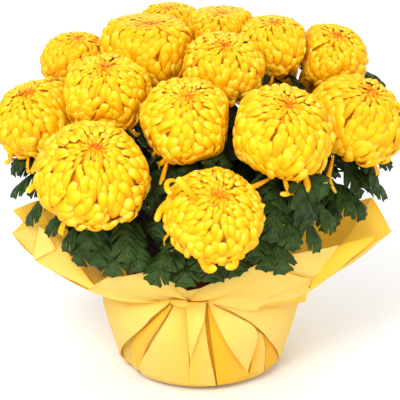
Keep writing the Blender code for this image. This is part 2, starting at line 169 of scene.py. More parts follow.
def add_softbox(name, place, size, power):
    """A square soft light that faces the plant."""
    place = Vector(place)
    aim = (LOOK_AT - place).to_track_quat("-Z", "Y").to_euler()
    bpy.ops.object.light_add(type="AREA", location=place, rotation=aim)
    lamp = bpy.context.object
    lamp.name = name
    lamp.data.shape = "SQUARE"
    lamp.data.size = size
    lamp.data.energy = power
    return lamp


floor = add_floor()
add_softbox("key_light", (-0.5, -1.5, 1.5), 0.7, 30)
add_softbox("front_light", (0.4, -1.9, 0.35), 0.9, 7)
add_softbox("back_light", (0.2, 1.5, 1.5), 1.2, 8)
world = bpy.data.worlds.new("studio")
world.use_nodes = True
world.node_tree.nodes["Background"].inputs["Color"].default_value = (1, 1, 1, 1)
world.node_tree.nodes["Background"].inputs["Strength"].default_value = 1.15
bpy.context.scene.world = world
print("floor of", triangles(floor), "triangles, three soft lights and a white world")

# %% [markdown]
# ## Finishes
# A finish is a small tree of nodes. Each one starts from a Principled shader and gets its colours
# from patterns that follow the piece: attributes that are stored with the mesh, such as how far
# along its petal a point lies, or noise in the piece's own coordinates. Painted pictures would do
# it too, but nodes stay sharp at any size.

# %% Helpers for node trees


class Finish:
    """A material under construction, with short calls for the nodes that this plant needs."""

    def __init__(self, name, roughness):
        self.material = bpy.data.materials.new(name)
        self.material.use_nodes = True
        self.tree = self.material.node_tree
        self.shader = self.tree.nodes["Principled BSDF"]
        self.shader.inputs["Roughness"].default_value = roughness

    def join(self, source, target):
        self.tree.links.new(source, target)

    def attribute(self, name):
        node = self.tree.nodes.new("ShaderNodeAttribute")
        node.attribute_name = name
        return node.outputs["Fac"]

    def place(self, scale=(1, 1, 1)):
        """The piece's own coordinates, stretched by a scale."""
        coordinates = self.tree.nodes.new("ShaderNodeTexCoord")
        mapping = self.tree.nodes.new("ShaderNodeMapping")
        mapping.inputs["Scale"].default_value = scale
        self.join(coordinates.outputs["Object"], mapping.inputs["Vector"])
        return mapping.outputs["Vector"]

    def noise(self, scale, detail=3, vector=None):
        node = self.tree.nodes.new("ShaderNodeTexNoise")
        node.inputs["Scale"].default_value = scale
        node.inputs["Detail"].default_value = detail
        self.join(vector or self.place(), node.inputs["Vector"])
        return node.outputs["Fac"]

    def sum(self, kind, first, second, third=None):
        """One sum of sockets or numbers."""
        node = self.tree.nodes.new("ShaderNodeMath")
        node.operation = kind
        for socket, value in zip(node.inputs, (first, second, third)):
            if isinstance(value, (int, float)):
                socket.default_value = value
            elif value is not None:
                self.join(value, socket)
        return node.outputs[0]

    def ramp(self, value, stops):
        """Colours along a value, from (place, colour) stops."""
        node = self.tree.nodes.new("ShaderNodeValToRGB")
        band = node.color_ramp
        for index, (place, colour) in enumerate(stops):
            stop = band.elements[index] if index < 2 else band.elements.new(place)
            stop.position = place
            stop.color = (*colour, 1)
        self.join(value, node.inputs["Fac"])
        return node.outputs["Color"]

    def blend(self, share, first, second, kind="MIX"):
        """Two colours blended by a share."""
        node = self.tree.nodes.new("ShaderNodeMix")
        node.data_type = "RGBA"
        node.blend_type = kind
        for name, value in (("Factor", share), ("A", first), ("B", second)):
            socket = [item for item in node.inputs if item.name == name and item.enabled][0]
            if isinstance(value, (int, float)):
                socket.default_value = value
            elif isinstance(value, tuple):
                socket.default_value = (*value, 1)
            else:
                self.join(value, socket)
        return [item for item in node.outputs if item.enabled][0]

    def bump(self, height, strength, distance):
        node = self.tree.nodes.new("ShaderNodeBump")
        node.inputs["Strength"].default_value = strength
        node.inputs["Distance"].default_value = distance
        self.join(height, node.inputs["Height"])
        self.join(node.outputs["Normal"], self.shader.inputs["Normal"])

    def colour(self, socket):
        self.join(socket, self.shader.inputs["Base Color"])

    def set(self, name, value):
        self.shader.inputs[name].default_value = value

    def let_light_through(self, share, colour):
        """Mixes in a share of light that passes through a thin piece and takes its colour."""
        through = self.tree.nodes.new("ShaderNodeBsdfTranslucent")
        through.inputs["Color"].default_value = (*colour, 1)
        both = self.tree.nodes.new("ShaderNodeMixShader")
        both.inputs["Fac"].default_value = share
        self.join(self.shader.outputs["BSDF"], both.inputs[1])
        self.join(through.outputs["BSDF"], both.inputs[2])
        self.join(both.outputs["Shader"], self.tree.nodes["Material Output"].inputs["Surface"])


print("a Finish builds one node tree")

# %% The petal's finish


def petal_finish():
    """Lemon petals with a painted highlight in cream on the tips, painted shade in gold toward their bases
    and on the lower petals, orange round the eye.
    """
    finish = Finish("petal", 0.5)
    along = finish.attribute("along")
    tone = finish.attribute("tone")
    fall = finish.attribute("fall")
    # Painted shade and painted highlight along the petal: gold toward the base, where it lies under other
    # petals, cream on the tip.
    body = finish.ramp(along, (
        (0.30, (0.96, 0.38, 0.001)),
        (0.60, (1.0, 0.48, 0.001)),
        (0.82, (1.0, 0.66, 0.008)),
        (0.98, (1.0, 0.82, 0.14)),
    ))
    # Painted shade: the lower petals round the skirt turn a deeper gold.
    skirt = finish.ramp(fall, ((0.60, (0, 0, 0)), (1.0, (1, 1, 1))))
    body = finish.blend(finish.sum("MULTIPLY", skirt, 0.35), body, (1.0, 0.56, 0.010))
    body = finish.blend(finish.sum("MULTIPLY", tone, 0.22), body, (1.0, 0.50, 0.003))
    eye = finish.ramp(fall, ((0.01, (1, 1, 1)), (0.11, (0, 0, 0))))
    body = finish.blend(finish.sum("MULTIPLY", eye, 0.7), body, (1.0, 0.36, 0.0))
    heart = finish.ramp(fall, ((0.005, (1, 1, 1)), (0.025, (0, 0, 0))))
    body = finish.blend(finish.sum("MULTIPLY", heart, 0.8), body, (0.62, 0.09, 0.0))
    streak = finish.noise(900, 2, finish.place((1, 1, 0.25)))
    streak = finish.sum("MULTIPLY_ADD", streak, 0.10, 0.93)
    finish.colour(finish.blend(1.0, body, streak, "MULTIPLY"))
    finish.bump(finish.noise(700, 2, finish.place((1, 1, 0.3))), 0.10, 0.0004)
    finish.set("Specular IOR Level", 0.15)
    finish.let_light_through(0.28, (1.0, 0.60, 0.012))
    return finish.material


petal_material = petal_finish()
print("petal finish with", len(petal_material.node_tree.nodes), "nodes")

# %% [markdown]
# ## The blooms
# An incurved chrysanthemum is a globe of a few hundred strap petals. Each grows from the base of the
# head, runs up over the globe and curls in at its tip, towards the eye on top. Outer petals lie over
# the foot of inner ones, as the scales of an artichoke do, and petals grow from a line or two at the
# eye to nearly a centimetre at the skirt.
#
# One could sculpt a globe, or scatter flat cards. Here one petal is modelled as a spoon with
# a rounded back, and copied a few hundred times: each copy is bent along its own path over the
# globe, so the petals really lie on each other. The places follow the golden angle, which is how
# such a head grows.

# %% The blooms' places, as in the imported model
CROWN_SHARE = 0.68
SKIRT_SHARE = 0.50
GAP = 0.3 * MM
# The petals fill the bloom out a little more than its plain solid: its crown, and what hangs.
CROWN_RISE = 0.80
SKIRT_HANG = 0.72
CEILING = 352 * MM
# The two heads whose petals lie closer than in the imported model.
CLOSER = {"bloom_01": 0.95, "bloom_03": 0.95}

# Centre and radius in mm, lean off the vertical and heading, 0 to the front and 90 to the right.
BLOOMS = {
    "bloom_01": (-98, -125, 243, 53, 33, 8),
    "bloom_02": (12, -150, 213, 44, 37, 14),
    "bloom_03": (73, -105, 276, 49, 26, 22),
    "bloom_04": (-13, -93, 283, 43, 28, 6),
    "bloom_05": (-157, -25, 264, 42, 22, -45),
    "bloom_06": (-89, -46, 296, 41, 20, -6),
    "bloom_07": (-124, 45, 303, 34, 9, 20),
    "bloom_08": (-53, 25, 320, 47, 16, 18),
    "bloom_09": (-32, 97, 322, 34, 10, -30),
    "bloom_10": (21, -20, 314, 38, 27, 6),
    "bloom_11": (70, 32, 324, 35, 17, 20),
    "bloom_12": (130, 45, 308, 35, 25, 25),
    "bloom_13": (149, -30, 265, 47, 28, 55),
    "bloom_14": (20, 62, 330, 34, 15, 10),
    "bloom_15": (-112, 110, 272, 41, 30, -135),
    "bloom_16": (-24, 152, 262, 43, 36, -170),
    "bloom_17": (64, 132, 272, 42, 32, 158),
    "bloom_18": (135, 112, 256, 38, 36, 130),
    "bloom_19": (-165, 62, 244, 36, 34, -105),
}


def direction(azimuth):
    """A level unit vector at an azimuth in degrees, 0 to the front and 90 to the right."""
    turn = math.radians(azimuth)
    return Vector((math.sin(turn), -math.cos(turn), 0))


def bloom_frame(name):
    """A bloom's centre, radius and axis, and the turn that brings Z to its axis."""
    x, y, z, radius, lean, heading = BLOOMS[name]
    lean = math.radians(lean)
    axis = (direction(heading) * math.sin(lean) + UP * math.cos(lean)).normalized()
    return Vector((x, y, z)) * MM, radius * MM, axis, UP.rotation_difference(axis).to_matrix()


def reach(name, towards):
    """How far a bloom's plain spheroid reaches along a unit direction."""
    _, radius, axis, _ = bloom_frame(name)
    along = axis.dot(towards)
    share = CROWN_SHARE if along > 0 else SKIRT_SHARE
    return radius * math.sqrt(1 - along * along * (1 - share * share))


def walls(name):
    """The planes where a bloom presses on its neighbours: a normal and a distance each."""
    centre = bloom_frame(name)[0]
    found = []
    for other in BLOOMS:
        if other == name:
            continue
        away = bloom_frame(other)[0] - centre
        distance = away.length
        away.normalize()
        mine = reach(name, away)
        theirs = reach(other, -away)
        if mine + theirs > 0.8 * distance:
            share = 0.5 + 0.5 * (mine * mine - theirs * theirs) / (distance * distance)
            found.append((away, distance * share - GAP))
    found.append((UP, CEILING - centre.z))
    return found


for name in BLOOMS:
    low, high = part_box(name)
    size = [round(value * 1000) for value in high - low]
    print(name, "spans", size, "mm,", len(walls(name)), "neighbours")

# %% One petal, modelled ring by ring
# Half the petal's width at each ring of the sphere it starts from, as a share of its widest.
PETAL_OUTLINE = (0.62, 0.74, 0.86, 0.97, 1.0, 0.74)
LONG_OUTLINE = (0.40, 0.50, 0.60, 0.70, 0.80, 0.90, 0.98, 1.0, 0.94, 0.66)
PETAL_THICKNESS = 0.26
PETAL_ARCH = 0.44


def model_petal(outline, arch):
    """A spoon along Y: narrow at its foot, wide near its round tip, arched across its back."""
    bpy.ops.object.select_all(action="DESELECT")
    rings = len(outline) + 1
    bpy.ops.mesh.primitive_uv_sphere_add(
        segments=8, ring_count=rings, radius=0.5, location=(0, 0.5, 0), rotation=(-math.pi / 2, 0, 0)
    )
    petal = bpy.context.object
    petal.name = "petal_pattern"
    settle(petal)
    for ring, half in enumerate(outline, start=1):
        polar = math.pi * ring / rings
        place = 0.5 - 0.5 * math.cos(polar)
        wider = half / (0.5 * math.sin(polar))
        choose(petal, lambda point: abs(point.y - place) < 0.004)
        bpy.ops.transform.resize(value=(wider, 1, wider * PETAL_THICKNESS))
        for inner, lift in ((0.2, arch), (0.8, 0.5 * arch)):
            outer = inner - 0.6
            choose(petal, lambda point: abs(point.y - place) < 0.004
                   and outer * half < abs(point.x) < inner * half)
            bpy.ops.transform.translate(value=(0, 0, lift * half))
    settle(petal)
    return petal


petal = model_petal(PETAL_OUTLINE, PETAL_ARCH)
long_petal = model_petal(LONG_OUTLINE, 0.8 * PETAL_ARCH)
print("one petal of", triangles(petal), "triangles, and a loose one of", triangles(long_petal))

# %% The petal as arrays


def mesh_arrays(piece):
    """A piece's points as an array, and its faces as lists of point numbers."""
    points = np.array([point.co for point in piece.data.vertices])
    faces = [tuple(face.vertices) for face in piece.data.polygons]
    return points, faces


def copied_mesh(name, points, faces, marks, material):
    """A new mesh object from copies of one pattern: points holds one block of rows per copy."""
    copies, size, _ = points.shape
    corners = np.array([corner for face in faces for corner in face])
    counts = np.array([len(face) for face in faces])
    all_corners = (corners[None, :] + size * np.arange(copies)[:, None]).ravel()
    all_counts = np.tile(counts, copies)
    mesh = bpy.data.meshes.new(name)
    mesh.vertices.add(copies * size)
    mesh.vertices.foreach_set("co", points.reshape(-1).astype(np.float32))
    mesh.loops.add(len(all_corners))
    mesh.loops.foreach_set("vertex_index", all_corners.astype(np.int32))
    mesh.polygons.add(len(all_counts))
    starts = np.concatenate(([0], np.cumsum(all_counts)[:-1]))
    mesh.polygons.foreach_set("loop_start", starts.astype(np.int32))
    mesh.update(calc_edges=True)
    for mark, values in marks.items():
        layer = mesh.attributes.new(mark, "FLOAT", "POINT")
        layer.data.foreach_set("value", np.ascontiguousarray(values, dtype=np.float32).ravel())
    mesh.validate()
    mesh.shade_smooth()
    mesh.materials.append(material)
    piece = bpy.data.objects.new(name, mesh)
    bpy.context.scene.collection.objects.link(piece)
    return piece


petal_points, petal_faces = mesh_arrays(petal)
long_points, long_faces = mesh_arrays(long_petal)
for pattern in (petal, long_petal):
    bpy.data.objects.remove(pattern, do_unlink=True)
print("petal pattern:", len(petal_points), "points and", len(petal_faces), "faces")

# %% Where a bloom's petals lie
# Polar angles, in radians from the eye, of the innermost and the outermost tips.
FIRST_TIP = 0.0
LAST_TIP = 2.05
GOLDEN_ANGLE = math.pi * (3 - math.sqrt(5))
PETALS_AT_FULL_SIZE = 375
FULL_SIZE = 53 * MM


def ease(value):
    """Eases values from 0 to 1."""
    value = np.clip(value, 0, 1)
    return value * value * (3 - 2 * value)


def petal_places(name, radius, draw):
    """Each petal's tip, length, width and stance, one row a petal, in shares of the radius."""
    count = int(PETALS_AT_FULL_SIZE * (0.62 + 0.38 * radius / FULL_SIZE))
    index = np.arange(count)
    share = (index + 0.5) / count
    tip = FIRST_TIP + (LAST_TIP - FIRST_TIP) * share ** 1.06
    per_petal = np.gradient(tip)
    spacing = np.sqrt(2 * math.pi * np.sin(np.clip(tip, 0.12, 2.6)) * per_petal)
    skirt = ease((tip - 1.15) / 0.7)
    jitter = draw.normal(size=(8, count))
    swirl = 0.20 + 0.22 * ease(tip / 1.6)
    lean = swirl * np.sin(3 * index * GOLDEN_ANGLE + draw.uniform(0, 6) + 2.2 * tip)
    lean += swirl * np.sin(2 * index * GOLDEN_ANGLE - 3.1 * tip + draw.uniform(0, 6))
    return {
        "tip": np.abs(tip + 0.26 * spacing * jitter[0]),
        "turn": index * GOLDEN_ANGLE + 0.20 * spacing * jitter[1] / np.maximum(np.sin(tip), 0.2),
        "span": (3.6 - 0.5 * skirt) * spacing * (1 + 0.08 * jitter[2]) + 0.05,
        "half": (0.62 + 0.01 * skirt) * spacing * (1 + 0.10 * jitter[3]),
        "lean": lean + (0.08 + 0.20 * skirt) * jitter[4],
        "roll": (0.14 + 0.10 * skirt) * jitter[5],
        "stand": 1.0 + (0.020 + 0.026 * skirt) * jitter[6] + 0.02 * skirt - 0.05 * ease(1 - tip / 0.35),
        "drop": 0.08 + 0.09 * skirt,
        "curl": (0.07 + 0.06 * skirt) * (1 + 0.3 * jitter[7]),
        "fall": tip / LAST_TIP,
        "tone": np.clip(draw.uniform(size=count), 0, 1),
    }


def middle_lines(places, share):
    """Points of every petal's middle line at shares of its length, in the bloom's own frame."""
    column = {key: values[:, None] for key, values in places.items()}
    rest = 1 - share[None, :]
    polar = np.clip(column["tip"] + column["span"] * rest, 0.01, 2.95)
    turn = column["turn"] + column["lean"] * column["span"] * rest / np.maximum(np.sin(polar), 0.35)
    stand = column["stand"] - column["drop"] * np.maximum(rest, 0) ** 1.2
    stand = stand - column["curl"] * np.clip(share[None, :] / 0.3 - 2.333, 0, 1.2) ** 2
    out = stand * np.clip(np.sin(polar), 0, 1) ** 0.9
    rise = stand * np.cos(polar)
    hang = SKIRT_HANG - (SKIRT_HANG - SKIRT_SHARE) * ease((polar - 2.1) / 0.8)
    rise = rise * np.where(rise > 0, CROWN_RISE, hang)
    return np.stack((out * np.cos(turn), out * np.sin(turn), rise), axis=-1)


def unit(vectors):
    """Vectors of length one."""
    return vectors / np.maximum(np.linalg.norm(vectors, axis=-1, keepdims=True), 1e-9)


def spooned(middle, run, outward, places, pattern):
    """Lays the petal pattern on middle lines that run to the tip, with its back outward."""
    across = unit(np.cross(run, outward))
    face = np.cross(across, run)
    roll = places["roll"][:, None, None]
    across, face = across * np.cos(roll) + face * np.sin(roll), face * np.cos(roll) - across * np.sin(roll)
    half = places["half"][:, None, None]
    return middle + across * (pattern[None, :, 0:1] * half) + face * (pattern[None, :, 2:3] * half)


def laid_petals(places, pattern):
    """Bends the petal pattern along every petal's middle line over the globe."""
    share = pattern[:, 1]
    small = 0.02
    middle = middle_lines(places, share)
    run = unit(middle_lines(places, share + small) - middle_lines(places, share - small))
    flat = np.where(middle[..., 2:] > 0, CROWN_SHARE, SKIRT_SHARE) ** 2
    outward = middle / np.concatenate((np.ones_like(flat), np.ones_like(flat), flat), axis=-1)
    return spooned(middle, run, outward, places, pattern)


# %% The loose petals under the skirt
# Guides of the two ways in which old petals hang: out from the axis and up, in radii. Most loop
# out and up again, and some hook down and under.
LOOP = ((0.60, -0.38), (0.92, -0.54), (1.06, -0.40), (0.98, -0.14))
HOOK = ((0.62, -0.36), (0.94, -0.46), (1.10, -0.74), (0.92, -0.84))
LOOSE_PETALS = 18

# Single petals that stand away in the photo: half the width, then four guide points, all in mm.
STRAYS = {
    "bloom_01": (
        (2.6, (-86, -146, 212), (-85, -148, 202), (-93, -149, 194), (-102, -149, 201)),
        (3.0, (-143, -128, 238), (-149, -128, 236), (-154, -128, 232), (-159, -128, 226)),
    ),
    "bloom_02": (
        (3.4, (-20, -150, 231), (-30, -151, 228), (-38, -151, 219), (-40, -151, 206)),
        (2.0, (-15, -152, 196), (-20, -152, 191), (-25, -152, 185), (-28, -152, 178)),
        (2.2, (46, -160, 223), (49, -160, 224), (53, -160, 226), (57, -160, 224)),
        (4.0, (0, -186, 191), (0, -186, 177), (6, -184, 168), (13, -182, 176)),
        (3.7, (-2, -176, 236), (-9, -184, 243), (-15, -183, 253), (-21, -175, 256)),
        (2.7, (-20, -160, 247), (-30, -162, 254), (-35, -162, 244), (-26, -164, 237)),
        (3.8, (30, -176, 188), (34, -180, 178), (30, -182, 172), (22, -180, 176)),
    ),
    "bloom_03": (
        (2.6, (87, -128, 246), (90, -128, 234), (84, -128, 221), (72, -128, 225)),
        (3.9, (94, -124, 246), (96, -124, 237), (98, -124, 231), (97, -124, 224)),
        (2.9, (64, -112, 234), (57, -114, 231), (50, -115, 227), (42, -114, 224)),
    ),
    "bloom_04": (
        (2.6, (-30, -112, 256), (-32, -112, 244), (-37, -112, 232), (-38, -112, 218)),
    ),
    "bloom_05": (
        (2.4, (-181, -48, 238), (-183, -48, 230), (-185, -48, 225), (-188, -48, 230)),
    ),
    "bloom_13": (
        (2.4, (126, -60, 240), (124, -60, 228), (123, -60, 220), (117, -60, 208)),
        (1.8, (126, -58, 236), (123, -58, 224), (120, -58, 213), (130, -58, 200)),
    ),
}


def along_guides(guides, share):
    """Points on smooth curves through four guide points each, at shares of their length."""
    share = np.clip(share, 0, 1)[None, :, None]
    rest = 1 - share
    first, second, third, fourth = (guides[:, None, index] for index in range(4))
    return (
        first * rest ** 3 + second * (3 * share * rest ** 2)
        + third * (3 * share ** 2 * rest) + fourth * share ** 3
    )


def guided_petals(guides, places, pattern, facing):
    """Lays petals along guides; facing gives their backs' direction at each point."""
    share = pattern[:, 1]
    small = 0.02
    middle = along_guides(guides, share)
    run = unit(along_guides(guides, share + small) - along_guides(guides, share - small))
    return spooned(middle, run, facing(middle, run), places, pattern)


def hanging_petals(draw, pattern):
    """Loops and hooks all round the underside of a bloom, in the bloom's own frame."""
    hooked = draw.uniform(size=LOOSE_PETALS) < 0.2
    flat = np.where(hooked[:, None, None], np.array(HOOK)[None], np.array(LOOP)[None])
    flat = flat + 0.022 * draw.normal(size=(LOOSE_PETALS, 4, 2))
    turn = np.arange(LOOSE_PETALS) + draw.uniform(-0.3, 0.3, LOOSE_PETALS)
    turn = 2 * math.pi * turn[:, None] / LOOSE_PETALS
    turn = turn + draw.uniform(-0.45, 0.45, LOOSE_PETALS)[:, None] * (np.arange(4) / 3) ** 2
    guides = np.stack((flat[..., 0] * np.cos(turn), flat[..., 0] * np.sin(turn), flat[..., 1]), axis=-1)
    places = {
        "roll": 0.2 * draw.normal(size=LOOSE_PETALS),
        "half": np.where(hooked, 0.06, draw.uniform(0.07, 0.095, LOOSE_PETALS)),
    }

    def facing(middle, run):
        tangent = np.stack((-middle[..., 1], middle[..., 0], np.zeros_like(middle[..., 0])), axis=-1)
        return np.cross(tangent, run)

    return guided_petals(guides, places, pattern, facing)


def stray_petals(name, pattern):
    """The bloom's single stray petals, in the model's own frame, with their backs to the front."""
    rows = STRAYS.get(name, ())
    if not rows:
        return np.zeros((0, len(pattern), 3))
    guides = np.array([row[1:] for row in rows]) * MM
    places = {"roll": np.zeros(len(rows)), "half": np.array([row[0] for row in rows]) * MM}
    front = np.array((0, -0.94, 0.34))
    return guided_petals(guides, places, pattern, lambda middle, run: np.broadcast_to(front, middle.shape))


draw_check = petal_places("bloom_01", FULL_SIZE, np.random.default_rng(1))
widths = 2000 * FULL_SIZE * draw_check["half"]
print(f"a full bloom has {len(widths)} petals, {widths.min():.1f} to {widths.max():.1f} mm wide")

# %% Make the blooms
CORE_SHARE = 0.91


def pressed(offsets, planes):
    """Squeezes points, given from the bloom's centre, so that they stay inside every plane."""
    for normal, limit in planes:
        normal = np.array(normal)
        along = offsets @ normal
        soft = 0.72 * limit
        room = limit - soft
        beyond = np.maximum(along - soft, 0)
        squeezed = soft + room * (1 - np.exp(-beyond / room))
        change = np.where(along > soft, squeezed - along, 0)
        offsets = offsets + normal * change[..., None]
    return offsets


def core_points(steps=20, rings=10):
    """A plain globe inside the petals, so that no gap shows through the head."""
    bpy.ops.object.select_all(action="DESELECT")
    bpy.ops.mesh.primitive_uv_sphere_add(segments=steps, ring_count=rings, radius=CORE_SHARE)
    core = bpy.context.object
    choose(core, lambda place: place.z > 0.01)
    bpy.ops.transform.resize(value=(1, 1, CROWN_RISE), center_override=(0, 0, 0))
    choose(core, lambda place: place.z < -0.01)
    bpy.ops.transform.resize(value=(1, 1, SKIRT_SHARE), center_override=(0, 0, 0))
    settle(core)
    points, faces = mesh_arrays(core)
    bpy.data.objects.remove(core, do_unlink=True)
    return points, faces


def petal_marks(pattern, tone, fall):
    """What the petal's finish reads: place along the petal, its own tone, and how far it has fallen."""
    return {
        "along": np.tile(pattern[:, 1], (len(tone), 1)),
        "tone": np.tile(tone[:, None], (1, len(pattern))),
        "fall": np.tile(fall[:, None], (1, len(pattern))),
    }


def make_bloom(name):
    """One bloom: its core, its petals and its loose ones, joined, pressed against the neighbours."""
    centre, radius, _, turn = bloom_frame(name)
    draw = np.random.default_rng(int(name[-2:]))
    planes = walls(name)
    centre, turn = np.array(centre), np.array(turn)
    radius *= CLOSER.get(name, 1)
    places = petal_places(name, radius, draw)
    points = pressed(laid_petals(places, petal_points) * radius @ turn.T, planes) + centre
    marks = petal_marks(petal_points, places["tone"], places["fall"])
    globe = copied_mesh(name, points, petal_faces, marks, petal_material)
    points = pressed(hanging_petals(draw, long_points) * radius @ turn.T, planes) + centre
    points = np.concatenate((points, stray_petals(name, long_points)))
    # The loose petals count as skirt and take its painted shade.
    marks = petal_marks(long_points, draw.uniform(size=len(points)), np.full(len(points), 0.95))
    loose = copied_mesh(f"{name}_loose", points, long_faces, marks, petal_material)
    points, faces = core_points()
    points = pressed(points * radius @ turn.T, planes) + centre
    none = np.zeros((1, len(points)))
    # The core shows in the gaps between petals and takes the painted shade gold of the petals' bases.
    core = copied_mesh(f"{name}_core", points[None], faces,
                       {"along": none + 0.5, "tone": none + 1, "fall": none + 0.3}, petal_material)
    bloom = join_all(f"{name}_petals", [globe, loose, core])
    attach(bloom, "root")
    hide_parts(name)
    return bloom


blooms = [make_bloom(name) for name in BLOOMS]
print(len(blooms), "blooms,", sum(triangles(bloom) for bloom in blooms), "triangles in all")

# %% [markdown]
# ## Stems
# Each cutting is one green, slightly woody stem in the soil, which branches once for each bloom it
# carries. A branch swells into a cup of small green bracts under its bloom. Curves with a round
# bevel are the quickest way to such stems: the path is worked out from the soil to the underside
# of the bloom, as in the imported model, and the curve is then converted to a mesh.

# %% The cuttings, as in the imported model
SOIL_TOP = 116 * MM
SOIL_CROWN = 5 * MM
HOLE_DEPTH = 28 * MM
STEM_RING_R = 42 * MM
TRUNK_R = 4.5 * MM
BRANCH_R = 2.6 * MM

# The edges of each cutting's sector of the pot, in degrees round from the front.
SECTORS = {
    "leafy_stem_1": (-24, 22, ("bloom_02", "bloom_04")),
    "leafy_stem_2": (22, 62, ("bloom_03", "bloom_10")),
    "leafy_stem_3": (62, 122, ("bloom_13", "bloom_12", "bloom_11")),
    "leafy_stem_4": (122, 176, ("bloom_18", "bloom_17", "bloom_14")),
    "leafy_stem_5": (176, 234, ("bloom_16", "bloom_09", "bloom_15")),
    "leafy_stem_6": (234, 288, ("bloom_05", "bloom_07", "bloom_08", "bloom_19")),
    "leafy_stem_7": (288, 336, ("bloom_01", "bloom_06")),
}


def trunk_foot(name):
    """The bottom of a cutting's stem, in the soil."""
    start, end, _ = SECTORS[name]
    spot = direction((start + end) / 2) * STEM_RING_R
    return spot + UP * (SOIL_TOP + 0.6 * SOIL_CROWN - HOLE_DEPTH)


def branch_end(bloom):
    """The underside of a bloom, where its branch ends."""
    centre, radius, axis, _ = bloom_frame(bloom)
    return centre - axis * (radius * SKIRT_SHARE + GAP)


def branch_point(name, bloom, share):
    """A point of a branch: a smooth curve from the cutting's stem to a bloom's underside."""
    start = trunk_foot(name) + UP * (HOLE_DEPTH + 8 * MM)
    end = branch_end(bloom)
    axis = bloom_frame(bloom)[2]
    span = (end - start).length
    first = start + UP * (0.52 * span)
    second = end - axis * (0.30 * span)
    rest = 1 - share
    return (
        start * rest ** 3 + first * (3 * share * rest ** 2)
        + second * (3 * share ** 2 * rest) + end * share ** 3
    )


# %% The stem's finish and its tubes


def stem_finish():
    """Fresh green, with fine ribs of noise along it."""
    finish = Finish("stem", 0.5)
    grain = finish.noise(260, 3, finish.place((1, 1, 0.2)))
    finish.colour(finish.ramp(grain, ((0.3, (0.035, 0.085, 0.015)), (0.75, (0.12, 0.20, 0.045)))))
    finish.bump(grain, 0.3, 0.0006)
    return finish.material


def make_tube(name, points, radii, material):
    """A round stem through points, swelling with the radii, as a closed mesh."""
    bpy.ops.object.select_all(action="DESELECT")
    bpy.ops.curve.primitive_nurbs_path_add()
    rod = bpy.context.object
    rod.name = name
    curve = rod.data
    curve.splines.clear()
    curve.bevel_depth = 1
    curve.bevel_resolution = 2
    curve.use_fill_caps = True
    spline = curve.splines.new("POLY")
    spline.points.add(len(points) - 1)
    for place, point, radius in zip(spline.points, points, radii):
        place.co = (*point, 1)
        place.radius = radius
    bpy.ops.object.convert(target="MESH")
    choose(rod, lambda place: True)
    bpy.ops.mesh.remove_doubles(threshold=0.00001)
    bpy.ops.mesh.normals_make_consistent(inside=False)
    settle(rod)
    rod.data.shade_smooth()
    rod.data.materials.clear()
    rod.data.materials.append(material)
    return rod


# The cup under a bloom: how far below its underside, and the radius there, in mm.
CUP = ((9, 2.9), (6.5, 5.2), (3.5, 7.4), (0.6, 8.2))


def make_stems(name):
    """One cutting's stem and branches, each ending in the cup under its bloom."""
    foot = trunk_foot(name)
    trunk = [foot + UP * (HOLE_DEPTH + 12 * MM) * share for share in (0, 0.5, 1)]
    pieces = [make_tube(f"{name}_trunk", trunk, (TRUNK_R, TRUNK_R, 0.9 * TRUNK_R), stem_material)]
    for bloom in SECTORS[name][2]:
        points = [branch_point(name, bloom, step / 12) for step in range(12)]
        radii = [BRANCH_R] * 12
        axis = bloom_frame(bloom)[2]
        for below, radius in CUP:
            points.append(branch_end(bloom) - axis * below * MM)
            radii.append(radius * MM)
        pieces.append(make_tube(f"{name}_{bloom}", points, radii, stem_material))
    stems = join_all(f"{name}_stems", pieces)
    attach(stems, "root")
    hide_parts(name)
    return stems


stem_material = stem_finish()
stems = [make_stems(name) for name in SECTORS]
print(len(stems), "cuttings,", sum(triangles(piece) for piece in stems), "triangles")

# %% [markdown]
# ## The paper
# The wrap is one square sheet of soft, fibrous paper. It lies under the pot, rises in pleats that
# all run to a pinch at the front, and flares above the pinch into a collar with the sheet's corners.
# A simulated cloth would fall in round folds, and paper creases instead. So the sheet starts as a
# tube of faces whose columns are the creases: each column is led from the foot, through the neck,
# where the columns crowd at the pinch, to the collar's edge.

# %% The collar's edge and the paper's side
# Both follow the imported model. The collar's left corner is split here into an upper and a lower
# flap, and the side stands upright for its last 13 mm, so that the flare starts higher.
PINCH = -7
COLLAR_SAG = 4 * MM

# Azimuth from the front in degrees, radius and height in mm.
COLLAR_EDGE = (
    (-172, 172, 172), (-150, 142, 140), (-120, 150, 128), (-100, 166, 158), (-97, 168, 164),
    (-91.5, 190, 159), (-90, 178.5, 149), (-88.5, 190, 138),
    (-75, 172, 130), (-50, 142, 114), (-38, 141, 136), (-20, 126, 143), (-7, 105, 118),
    (8, 112, 128), (28, 134, 150), (42, 138, 132), (56, 138, 118), (78, 174, 140),
    (90, 192, 138), (98, 176, 166), (120, 150, 132), (150, 140, 138), (180, 170, 176),
)
# Radius and height in mm, from the foot to the neck.
WRAP_SIDE = ((66, 0), (74, 1.2), (83, 9), (90, 34), (99, 64), (103, 90), (103, 103))


def collar_edge(azimuth):
    """The collar's radius and height at an azimuth, straight between the points of its edge."""
    azimuth = (azimuth + 180) % 360 - 180
    before, after = COLLAR_EDGE[-1], COLLAR_EDGE[0]
    for first, second in zip(COLLAR_EDGE, COLLAR_EDGE[1:]):
        if first[0] <= azimuth < second[0]:
            before, after = first, second
    share = ((azimuth - before[0]) % 360) / ((after[0] - before[0]) % 360)
    radius = before[1] + share * (after[1] - before[1])
    height = before[2] + share * (after[2] - before[2])
    return radius * MM, height * MM


def side_point(level):
    """Radius and height of the plain side, 0 at the foot and 1 at the neck."""
    place = min(1, level) * (len(WRAP_SIDE) - 1)
    index = min(int(place), len(WRAP_SIDE) - 2)
    share = place - index
    low, high = WRAP_SIDE[index], WRAP_SIDE[index + 1]
    return (low[0] + share * (high[0] - low[0])) * MM, (low[1] + share * (high[1] - low[1])) * MM


